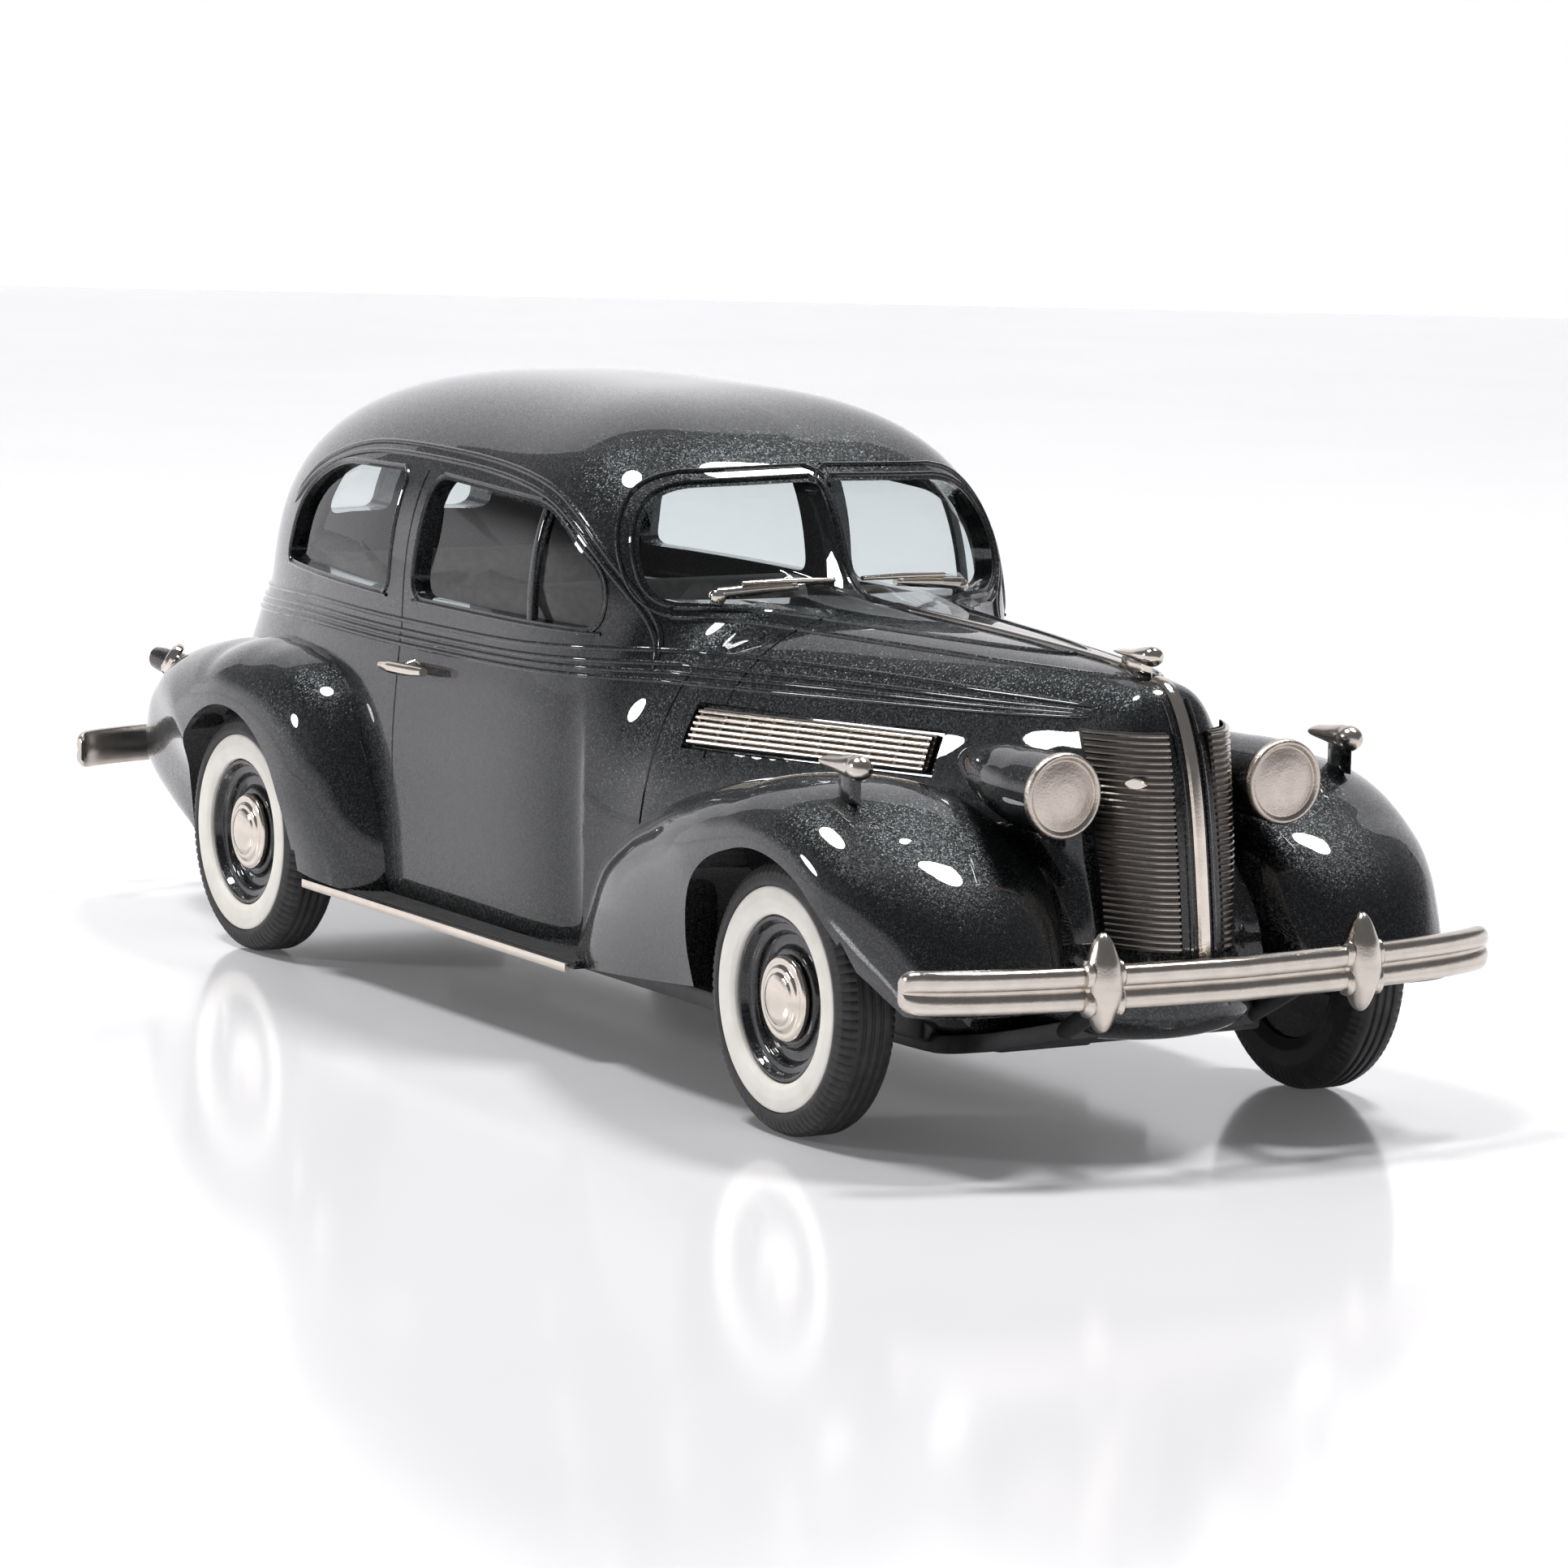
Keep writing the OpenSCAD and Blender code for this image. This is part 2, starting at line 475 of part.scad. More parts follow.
module fender_lamp() union() {
    hull() {
        translate([46.3, 17.3, 22.15]) sphere(r = 0.75, $fn = 20);
        translate([42.9, 17.3, 22.2]) rotate([0, 90, 0]) scale([0.5, 1, 1])
            cylinder(r = 0.75, h = 0.3, $fn = 16);
    }
    hull() {
        translate([45, 17.3, 20]) scale([1.6, 0.6, 1]) cylinder(r = 0.5, h = 0.3, $fn = 16);
        translate([45, 17.3, 21.6]) scale([1.8, 0.7, 1]) cylinder(r = 0.4, h = 0.3, $fn = 16);
    }
}
module fender_lamp_left() color(nickel) fender_lamp();
module fender_lamp_right() color(nickel) on_right() fender_lamp();
module wiper() union() {
    translate([14.45, 8.5, 28.75]) sphere(r = 0.52, $fn = 20);
    translate([14.25, 8.5, 27.7]) cylinder(r = 0.3, h = 1, $fn = 16);
    hull() {
        translate([14.5, 8.3, 28.95]) sphere(r = 0.24, $fn = 12);
        translate([15.1, 3.8, 29.15]) sphere(r = 0.2, $fn = 12);
    }
    hull() {
        translate([14.9, 6.4, 29.4]) sphere(r = 0.17, $fn = 12);
        translate([15.35, 0.9, 29.4]) sphere(r = 0.17, $fn = 12);
    }
}
module wiper_left() color(nickel) wiper();
module wiper_right() color(nickel) on_right() wiper();
module door_handle() union() {
    hull() {
        translate([-11.4, 18.05, 21.6]) sphere(r = 0.42, $fn = 16);
        translate([-7.6, 18.15, 21.7]) sphere(r = 0.3, $fn = 16);
    }
    translate([-11, 16.6, 21.6]) rotate([-90, 0, 0]) cylinder(r = 0.32, h = 1.5, $fn = 16);
    translate([-11, 17.25, 21.6]) rotate([-90, 0, 0]) cylinder(r = 0.55, h = 0.2, $fn = 16);
}
module door_handle_left() color(nickel) door_handle();
module door_handle_right() color(nickel) on_right() door_handle();
module board_strip() translate([-21.9, board_half_w + 0.03, 5.55]) cube([36.9, 0.35, 0.65]);
module board_strip_left() color(nickel) board_strip();
module board_strip_right() color(nickel) on_right() board_strip();

// ---------- bumpers ----------
BOW = [[0, 60], [9, 59.3], [15, 58.3], [18.5, 57.2], [20.4, 56.1]];
// Bar section: [depth, height] with two rounded ribs and a groove between them
BAR = [[-0.1, 1.3], [0.45, 1.2], [0.72, 0.85], [0.68, 0.4], [0.42, 0.12], [0.42, -0.12],
       [0.68, -0.4], [0.72, -0.85], [0.45, -1.2], [-0.1, -1.3], [-0.5, -0.95], [-0.5, 0.95]];
module bumper_bar(z) {
    steps = 16;
    loft([for (i = [0:steps]) let (y = bumper_half_w * sin(90 * (2 * i / steps - 1)), x = curve(BOW, abs(y)),
            k = abs(y) > 20 ? 0.75 : 1)
        [for (p = BAR) [x + p[0], y, z + p[1] * k]]]);
}
module guard(y) {
    top = 2.85;
    for (s = [1, -1]) {
        hull() {
            translate([guard_tip_x - 1.35, y, 11.1]) scale([1, 0.8, 1]) sphere(r = 1.35, $fn = 20);
            translate([guard_tip_x - 1.45, y, 11.1 + s * 1.4]) scale([1.1, 0.8, 1]) sphere(r = 1.1, $fn = 16);
        }
        hull() {
            translate([guard_tip_x - 1.45, y, 11.1 + s * 1.4]) scale([1.1, 0.8, 1]) sphere(r = 1.1, $fn = 16);
            translate([guard_tip_x - 1.7, y, 11.1 + s * (top - 0.5)]) scale([1.1, 0.9, 1])
                sphere(r = 0.5, $fn = 12);
        }
    }
}
module bumper(bar_z) {
    bumper_bar(bar_z);
    for (y = [-9, 9]) guard(y);
    // irons that reach back to the base
    for (y = [-6.5, 6.5]) hull() {
        translate([58.6, y, bar_z - 0.6]) cube([0.6, 1.4, 1.2], center = true);
        translate([53.4, y, 6.4]) cube([0.6, 1.4, 1], center = true);
    }
}
module front_bumper() color(nickel) bumper(10.9);
module rear_bumper() color(nickel) mirror([1, 0, 0]) bumper(10.5);

// ---------- tail ----------
module tail_lamp() translate([tail_x - 0.03, tail_y, tail_z]) rotate([0, -90, 0]) rotate_extrude($fn = 20)
    polygon([[0, 0], [0.7, 0], [0.7, 0.15], [0.5, 0.4], [0, 0.5]]);
module tail_lamp_left() color([0.6, 0.05, 0.04]) tail_lamp();
module tail_lamp_right() color([0.6, 0.05, 0.04]) on_right() tail_lamp();
module fuel_cap() color(nickel) translate([-48.4, -16.4, 17.6]) rotate([48, -38, 0]) rotate_extrude($fn = 24)
    polygon([[0, 0], [1.1, 0], [1.25, 0.2], [1.2, 0.5], [0.8, 0.75], [0, 0.8]]);

// ---------- running gear ----------
module axle(x) translate([x, 18.6, wheel_z]) rotate([90, 0, 0]) cylinder(r = axle_r, h = 37.2);
module front_axle() color(nickel) axle(front_axle_x);
module rear_axle() color(nickel) axle(rear_axle_x);
// Places a wheel part so that its own +Z points outwards and z = 0 is the tyre's outer face
module at_wheel(x, side) translate([x, side * wheel_face_y, wheel_z]) rotate([-90 * side, 0, 0]) children();
module tyre(x, side) color(rubber) at_wheel(x, side) rotate_extrude($fn = 64)
    polygon([[rim_r + 0.02, -tyre_w + 0.4], [5.7, -tyre_w + 0.08], [6.6, -tyre_w], [7.5, -tyre_w + 0.25],
             [8, -tyre_w + 0.7], [tyre_r, -tyre_w + 1.1], [tyre_r, -2.6], [tyre_r - 0.15, -2.5],
             [tyre_r, -2.4], [tyre_r, -2.05], [tyre_r - 0.15, -1.95], [tyre_r, -1.85], [tyre_r, -1.5],
             [tyre_r - 0.15, -1.4], [tyre_r, -1.3], [tyre_r, -1], [8, -0.5], [7.5, -0.12], [6.9, 0],
             [whitewall_r + 0.02, -0.06], [whitewall_r + 0.02, -0.5], [rim_r + 0.02, -0.5]]);
module whitewall(x, side) color([0.92, 0.9, 0.84]) at_wheel(x, side) rotate_extrude($fn = 64)
    polygon([[rim_r + 0.02, -0.48], [whitewall_r, -0.48], [whitewall_r, -0.04], [5.9, 0.02], [5.3, -0.06],
             [rim_r + 0.02, -0.3]]);
module rim(x, side) color(paint) at_wheel(x, side) rotate_extrude($fn = 48)
    polygon([[axle_r + 0.02, -tyre_w + 0.6], [rim_r, -tyre_w + 0.6], [rim_r, -0.52], [rim_r - 0.15, -0.38],
             [4.65, -0.42], [4.45, -0.8], [3.95, -0.95], [3.7, -1.35], [3.1, -1.35], [2.85, -1.05],
             [axle_r + 0.02, -1.05]]);
module hubcap(x, side) color(nickel) at_wheel(x, side) rotate_extrude($fn = 40)
    polygon([[0, -1.02], [hubcap_r - 0.1, -1.02], [hubcap_r, -0.8], [hubcap_r - 0.05, -0.6], [2.2, -0.46],
             [1.9, -0.44], [1.75, -0.3], [1.1, -0.12], [0.5, -0.03], [0, 0]]);

body_shell();
baseplate();
windscreen_right();
windscreen_left();
door_glass_right();
door_glass_left();
quarter_glass_right();
quarter_glass_left();
rear_glass_right();
rear_glass_left();
interior_tub();
front_seat();
rear_seat();
dashboard();
steering_column();
steering_wheel();
grille_right();
grille_left();
nose_strip();
hood_strip();
hood_ornament();
grille_badge();
louvre_right();
louvre_left();
headlamp_right();
headlamp_left();
fender_lamp_right();
fender_lamp_left();
wiper_right();
wiper_left();
door_handle_right();
door_handle_left();
board_strip_right();
board_strip_left();
front_bumper();
rear_bumper();
tail_lamp_right();
tail_lamp_left();
fuel_cap();
base_screws();
front_axle();
rear_axle();
tyre(front_axle_x, -1);  // tyre_front_right
tyre(front_axle_x, 1);  // tyre_front_left
tyre(rear_axle_x, -1);  // tyre_rear_right
tyre(rear_axle_x, 1);  // tyre_rear_left
whitewall(front_axle_x, -1);  // whitewall_front_right
whitewall(front_axle_x, 1);  // whitewall_front_left
whitewall(rear_axle_x, -1);  // whitewall_rear_right
whitewall(rear_axle_x, 1);  // whitewall_rear_left
rim(front_axle_x, -1);  // rim_front_right
rim(front_axle_x, 1);  // rim_front_left
rim(rear_axle_x, -1);  // rim_rear_right
rim(rear_axle_x, 1);  // rim_rear_left
hubcap(front_axle_x, -1);  // hubcap_front_right
hubcap(front_axle_x, 1);  // hubcap_front_left
hubcap(rear_axle_x, -1);  // hubcap_rear_right
hubcap(rear_axle_x, 1);  // hubcap_rear_left
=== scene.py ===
"""Looks of a collector's scale model of a late-1930s two-door sedan.

Shapes are worked out in millimetres and built in metres. +X is the car's front, +Y its left side and +Z up.
"""

import bpy
import numpy as np
from mathutils import Matrix, Vector


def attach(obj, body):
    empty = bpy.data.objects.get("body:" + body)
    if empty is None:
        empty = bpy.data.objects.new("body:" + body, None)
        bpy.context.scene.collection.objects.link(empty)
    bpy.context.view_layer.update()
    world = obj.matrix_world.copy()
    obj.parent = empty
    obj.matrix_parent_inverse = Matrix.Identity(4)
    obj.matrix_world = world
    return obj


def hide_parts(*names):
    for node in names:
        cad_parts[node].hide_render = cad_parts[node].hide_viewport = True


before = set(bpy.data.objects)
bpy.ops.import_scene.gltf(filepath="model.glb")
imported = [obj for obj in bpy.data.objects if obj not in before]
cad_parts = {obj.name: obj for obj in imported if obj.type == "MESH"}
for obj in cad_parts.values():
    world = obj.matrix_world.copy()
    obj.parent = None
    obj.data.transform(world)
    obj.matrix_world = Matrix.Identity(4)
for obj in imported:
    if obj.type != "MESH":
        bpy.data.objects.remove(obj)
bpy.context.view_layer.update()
MM = 0.001

# ---------------------------------------------------------------- sizes, in millimetres
FRONT_AXLE = 41.5
REAR_AXLE = -30.5
WHEEL_Z = 8.15
WHEEL_FACE = 20.0
BELT_Z = 24.0
ROOF_Z = 40.2
WIDEST_X = -8.0
SPINE_Z = 5.0
NOSE_BOTTOM = 8.6
BASE_TOP = 5.8
LAMP = (52.6, 7.72, 21.0)
TAIL = [(4, -50), (8, -55.2), (12, -56.6), (16, -56), (20, -53.6), (24, -50.8)]
SIDE = [(4, 16.7), (10, 17.2), (16, 17.4), (21, 17.1), (24, 16.8)]
HOOD_TOP = [(8, 29.0), (21.5, 28.3), (35, 28), (46, 27.6), (50, 27.2), (54, 26.7), (60, 26)]
HOOD_WIDTH = [(8, 16.2), (17, 15.8), (22, 14.7), (30, 12.3), (40, 9.2), (47, 6.6), (52, 5.2), (60, 4.6)]
NOSE_LINE = [(4, 57.0), (8.6, 56.7), (11.9, 56.5), (16, 56), (21.5, 55.1), (24.5, 54.4), (26.5, 53.8),
             (29, 52.8)]
GRILLE_EDGE = [(4, 3.8), (8.6, 4), (12, 4.15), (24.5, 4.9), (30, 5.4)]


def curve(table, x):
    """Smooth line through (position, value) points that never overshoots: cubic pieces, slopes by
    harmonic mean.
    """
    px, py = np.asarray(table, float).T
    x = np.clip(np.asarray(x, float), px[0], px[-1])
    rise = np.diff(py) / np.diff(px)
    before, after = rise[:-1], rise[1:]
    same = before * after > 0
    middle = np.where(same, 2 * before * after / np.where(same, before + after, 1), 0)
    slope = np.concatenate([rise[:1], middle, rise[-1:]])
    i = np.clip(np.searchsorted(px, x, side="right") - 1, 0, len(px) - 2)
    h = px[i + 1] - px[i]
    s = (x - px[i]) / h
    return ((1 + 2 * s) * (1 - s) ** 2 * py[i] + s * (1 - s) ** 2 * h * slope[i]
            + s * s * (3 - 2 * s) * py[i + 1] + s * s * (s - 1) * h * slope[i + 1])


def soft_min(a, b, k):
    """The smaller of two fields, rounded over a width k where they cross."""
    h = np.clip(0.5 + 0.5 * (b - a) / k, 0, 1)
    return b + (a - b) * h - k * h * (1 - h)


def soft_max(a, b, k):
    return -soft_min(-a, -b, k)


def cabin_field(x, y, z):
    """Below 0 inside the cabin and lower body: superellipse plans, squarer in front, closing over the
    roof.
    """
    up = np.clip((z - BELT_Z) / (ROOF_Z - BELT_Z), 0, None)
    low = z < BELT_Z
    rear = np.where(low, WIDEST_X - curve(TAIL, z), 42.8 * (1 - 0.085 * up))
    half = np.where(low, curve(SIDE, z), 16.8 * (1 - 0.02 * up))
    ahead = x >= WIDEST_X
    reach = np.where(ahead, 24.1 * (1 - 0.03 * up) - 0.115 * np.abs(y), rear)
    n = np.where(ahead, 4.8, 2.5)
    out = ((np.abs(x - WIDEST_X) / reach) ** n + (np.abs(y) / half) ** n) ** (1 / n)
    return ((out ** 2.87 + up ** 2.87) ** (1 / 2.87) - 1) * 17


def nose_x(y, z):
    """Front of the nose: its centre line leans back, and the two grille faces fall away from it."""
    return curve(NOSE_LINE, z) - 3.75 * np.minimum(np.abs(y) / curve(GRILLE_EDGE, z), 1.06) ** 3


def hood_field(x, y, z):
    """Below 0 inside the hood, cowl and nose: arched sections that narrow forwards to the V of the nose."""
    width, top = curve(HOOD_WIDTH, x), curve(HOOD_TOP, x)
    n = 2.7
    arch = ((np.abs(y) / width) ** n + (np.clip(z - NOSE_BOTTOM, 0,
                                                None) / (top - NOSE_BOTTOM)) ** n) ** (1 / n)
    field = soft_max((arch - 1) * width, x - nose_x(y, z), 2.2)
    return np.maximum(field, (12 - x) * 0.7)


def bulge_field(x, y, z):
    """Below 0 inside the soft swellings between the nose and the fenders."""
    out = ((x - 43.5) / 8.6) ** 2 + ((np.abs(y) - 7.9) / 5.0) ** 2 + ((z - 11.5) / 6.3) ** 2
    return (np.sqrt(out) - 1) * 5.5


def body_field(x, y, z):
    return soft_min(soft_min(cabin_field(x, y, z), hood_field(x, y, z), 2.6), bulge_field(x, y, z), 1.8)


def reach_out(start, direction, far, field=body_field):
    """Where rays from start along direction leave the body, by halving."""
    low = np.zeros(start.shape[:-1])
    high = np.full(low.shape, float(far))
    for _ in range(30):
        mid = (low + high) / 2
        p = start + direction * mid[..., None]
        inside = field(p[..., 0], p[..., 1], p[..., 2]) < 0
        low, high = np.where(inside, mid, low), np.where(inside, high, mid)
    return start + direction * low[..., None]


def side_point(x, z, off=0.0):
    """Points on the body's left side at the given lengths and heights, moved outwards by off."""
    x, z = np.broadcast_arrays(np.asarray(x, float), np.asarray(z, float))
    p = reach_out(np.stack([x, 0 * x, z], -1), np.broadcast_to([0.0, 1.0, 0.0], x.shape + (3,)), 25)
    return p + normal_at(p) * off


def top_point(x, y, off=0.0):
    x, y = np.broadcast_arrays(np.asarray(x, float), np.asarray(y, float))
    p = reach_out(np.stack([x, y, 0 * x + 10], -1), np.broadcast_to([0.0, 0.0, 1.0], x.shape + (3,)), 40)
    return p + normal_at(p) * off


def front_point(y, z, off=0.0):
    y, z = np.broadcast_arrays(np.asarray(y, float), np.asarray(z, float))
    p = reach_out(np.stack([0 * y, y, z], -1), np.broadcast_to([1.0, 0.0, 0.0], y.shape + (3,)), 70)
    return p + normal_at(p) * off


def normal_at(p):
    """Outward direction of the body's skin, from differences of its field."""
    e = 0.02
    step = np.eye(3) * e
    g = np.stack([body_field(*np.moveaxis(p + s, -1, 0)) - body_field(*np.moveaxis(p - s, -1, 0))
                  for s in step], -1)
    return g / np.linalg.norm(g, axis=-1, keepdims=True)


# ---------------------------------------------------------------- meshes
def skin(points, closed=True, caps=True):
    """Vertices and faces of a grid of points: rows along, columns round. Ends close by fans to their
    middles.
    """
    rows, cols = points.shape[:2]
    verts = points.reshape(-1, 3)
    i = np.arange(rows - 1)[:, None] * cols
    j = np.arange(cols if closed else cols - 1)[None, :]
    k = (j + 1) % cols
    faces = np.stack([i + j, i + k, i + cols + k, i + cols + j], -1).reshape(-1, 4).tolist()
    if caps:
        ring = np.arange(cols)
        after = (ring + 1) % cols
        n = len(verts)
        verts = np.concatenate([verts, points[:1].mean(1), points[-1:].mean(1)])
        last = (rows - 1) * cols
        faces += np.stack([after, ring, ring * 0 + n], -1).tolist()
        faces += np.stack([last + ring, last + after, ring * 0 + n + 1], -1).tolist()
    return outward(verts, faces)


def outward(verts, faces):
    """Turns every face over if the closed shape's volume comes out negative."""
    tris = np.array([f[:3] for f in faces] + [[f[0], f[2], f[3]] for f in faces if len(f) == 4])
    a, b, c = verts[tris[:, 0]], verts[tris[:, 1]], verts[tris[:, 2]]
    if np.einsum("ij,ij->", a, np.cross(b, c)) < 0:
        faces = [f[::-1] for f in faces]
    return verts, faces


def mirrored(shape):
    verts, faces = shape
    return verts * [1, -1, 1], [f[::-1] for f in faces]


def both(shape):
    return [shape, mirrored(shape)]


def joined(shapes):
    verts, faces, n = [], [], 0
    for v, f in shapes:
        verts.append(v)
        faces += [[i + n for i in q] for q in f]
        n += len(v)
    return np.concatenate(verts), faces


def mesh_object(name, shape):
    verts, faces = shape
    mesh = bpy.data.meshes.new(name)
    mesh.from_pydata((np.asarray(verts) * MM).tolist(), [], faces)
    mesh.validate()
    obj = bpy.data.objects.new(name, mesh)
    bpy.context.scene.collection.objects.link(obj)
    return obj


def dress(obj, look, body, replaces=(), crease=38):
    """Gives a piece its look, its smooth shading, the CAD body it moves with and the CAD nodes it
    stands for.
    """
    obj.data.materials.clear()
    obj.data.materials.append(look)
    obj.data.polygons.foreach_set("use_smooth", np.ones(len(obj.data.polygons), bool))
    obj.data.set_sharp_from_angle(angle=np.radians(crease))
    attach(obj, body)
    if replaces:
        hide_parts(*replaces)
    return obj


def piece(name, shapes, look, body, replaces=(), crease=38):
    shapes = shapes if isinstance(shapes, list) else [shapes]
    return dress(mesh_object(name, joined(shapes)), look, body, replaces, crease)


def carved(name, solids, cutters):
    """One casting: the solids run together and the cutters taken away."""
    base = mesh_object(name, solids[0])
    spare = []
    for shape, work in [(s, "UNION") for s in solids[1:]] + [(c, "DIFFERENCE") for c in cutters]:
        other = mesh_object("spare", shape)
        spare.append(other)
        step = base.modifiers.new("cut", "BOOLEAN")
        step.operation, step.solver, step.object = work, "MANIFOLD", other
    bpy.context.view_layer.update()
    done = bpy.data.meshes.new_from_object(base.evaluated_get(bpy.context.evaluated_depsgraph_get()))
    base.modifiers.clear()
    done.validate()
    base.data = done
    done.name = name
    for other in spare:
        bpy.data.objects.remove(other)
    return base


def rings(table, count, turn):
    """Rings of a lathe-turned profile of (radius, height) points; turn places them."""
    table = np.asarray(table, float)
    a = np.linspace(0, 2 * np.pi, count, endpoint=False)
    r, h = table[:, :1], table[:, 1:]
    local = np.stack([r * np.cos(a), r * np.sin(a), h + 0 * a], -1)
    return local @ np.asarray(turn[0]).T + np.asarray(turn[1])


def turned(table, count, turn, solid=True):
    """A lathe-turned piece. With solid off, the profile is a closed loop round a hole."""
    table = np.asarray(table, float)
    if not solid:
        table = np.concatenate([table, table[:1]])
        p = rings(table, count, turn)
        rows, cols = p.shape[0] - 1, p.shape[1]
        i = (np.arange(rows) * cols)[:, None]
        below = (np.roll(np.arange(rows), -1) * cols)[:, None]
        j = np.arange(cols)[None]
        k = (j + 1) % cols
        faces = np.stack([i + j, i + k, below + k, below + j], -1).reshape(-1, 4).tolist()
        return outward(p[:-1].reshape(-1, 3), faces)
    return skin(rings(table, count, turn))


def softened(table, radius=0.08, steps=4):
    """Rounds each corner of an open profile with a small quadratic curve."""
    t = np.asarray(table, float)
    before, here, after = t[:-2], t[1:-1], t[2:]
    la = np.linalg.norm(before - here, axis=1, keepdims=True)
    lb = np.linalg.norm(after - here, axis=1, keepdims=True)
    a = here + (before - here) * np.minimum(radius, la * 0.45) / la
    b = here + (after - here) * np.minimum(radius, lb * 0.45) / lb
    s = np.linspace(0, 1, steps)[None, :, None]
    arcs = (1 - s) ** 2 * a[:, None] + 2 * s * (1 - s) * here[:, None] + s * s * b[:, None]
    return np.concatenate([t[:1], arcs.reshape(-1, 2), t[-1:]])


def resampled(points, count, loop=False):
    """Evenly spaced points along a path, rounded by a Catmull-Rom curve."""
    p = np.asarray(points, float)
    p = np.concatenate([p[-1:], p, p[:2]]) if loop else np.concatenate([2 * p[:1] - p[1:2], p,
        2 * p[-1:] - p[-2:-1]])
    s = np.linspace(0, 1, 12, endpoint=False)[:, None]
    a, b, c, d = (p[i:len(p) - 3 + i][:, None] for i in range(4))
    fine = 0.5 * (2 * b + (c - a) * s + (2 * a - 5 * b + 4 * c - d) * s ** 2 + (3 * b - a - 3 * c + d)
                  * s ** 3)
    fine = fine.reshape(-1, p.shape[1])
    fine = np.concatenate([fine, fine[:1] if loop else p[-2:-1]])
    length = np.concatenate([[0], np.cumsum(np.linalg.norm(np.diff(fine, axis=0), axis=1))])
    at = np.linspace(0, length[-1], count, endpoint=not loop)
    return np.stack([np.interp(at, length, fine[:, i]) for i in range(p.shape[1])], 1)


def swept(path, section, up, loop=False, sizes=None):
    """A section of (across, up) points carried along a path whose own up directions are given."""
    path, up = np.asarray(path, float), np.asarray(up, float)
    if loop:
        along = np.roll(path, -1, 0) - np.roll(path, 1, 0)
    else:
        along = np.gradient(path, axis=0)
    along /= np.linalg.norm(along, axis=1, keepdims=True)
    across = np.cross(along, up)
    across /= np.linalg.norm(across, axis=1, keepdims=True)
    rise = np.cross(across, along)
    section = np.asarray(section, float)
    size = np.ones(len(path)) if sizes is None else np.asarray(sizes, float)
    p = (path[:, None] + across[:, None] * section[None, :, :1] * size[:, None, None]
         + rise[:, None] * section[None, :, 1:] * size[:, None, None])
    if loop:
        p = np.concatenate([p, p[:1]])
        return skin_loop(p)
    return skin(p)


def skin_loop(p):
    rows, cols = p.shape[0] - 1, p.shape[1]
    i = (np.arange(rows) * cols)[:, None]
    below = (np.roll(np.arange(rows), -1) * cols)[:, None]
    j = np.arange(cols)[None]
    k = (j + 1) % cols
    faces = np.stack([i + j, i + k, below + k, below + j], -1).reshape(-1, 4).tolist()
    return outward(p[:-1].reshape(-1, 3), faces)


def circle(r, n=12, flat=1.0):
    a = np.linspace(0, 2 * np.pi, n, endpoint=False)
    return np.stack([r * np.cos(a), r * flat * np.sin(a)], 1)


def rounded(corners, radii, steps=8):
    """A closed outline through corner points, each corner rounded by its own radius."""
    c = np.asarray(corners, float)
    r = np.broadcast_to(np.asarray(radii, float), (len(c),))[:, None]
    before, after = np.roll(c, 1, 0), np.roll(c, -1, 0)
    la = np.linalg.norm(before - c, axis=1, keepdims=True)
    lb = np.linalg.norm(after - c, axis=1, keepdims=True)
    a = c + (before - c) * np.minimum(r, la * 0.48) / la
    b = c + (after - c) * np.minimum(r, lb * 0.48) / lb
    s = np.linspace(0, 1, steps)[None, :, None]
    return ((1 - s) ** 2 * a[:, None] + 2 * s * (1 - s) * c[:, None] + s * s * b[:, None]).reshape(-1, 2)


def grown(outline, by):
    """An outline moved outwards by a distance."""
    ahead = np.roll(outline, -1, 0) - np.roll(outline, 1, 0)
    out = np.stack([ahead[:, 1], -ahead[:, 0]], 1)
    out /= np.maximum(np.linalg.norm(out, axis=1, keepdims=True), 1e-9)
    middle = outline.mean(0)
    sign = np.sign(((outline - middle) * out).sum())
    return outline + out * sign * by


# ---------------------------------------------------------------- the casting
def main_body():
    """Cabin, hood and nose as one skin: rays fan out from a line low down inside, with a fan at each end."""
    turn = np.linspace(0, np.pi, 187)[None, :]
    rear = np.linspace(-np.pi / 2 + 0.012, 0, 66)[:-1]
    middle = np.concatenate([np.linspace(-32, 7, 70)[:-1], np.linspace(7, 17, 56)[:-1],
                             np.linspace(17, 45, 60)])
    front = np.linspace(0, np.pi / 2 - 0.012, 84)[1:]
    lean = np.concatenate([rear, 0 * middle, front])[:, None]
    x = np.concatenate([0 * rear - 32, middle, 0 * front + 45])[:, None]
    direction = np.stack([np.sin(lean) + 0 * turn, np.cos(lean) * np.cos(turn), np.cos(lean) * np.sin(turn)],
                         -1)
    start = np.stack([x + 0 * turn, 0 * x * turn, 0 * x * turn + SPINE_Z], -1)
    return skin(reach_out(start, direction, 60))


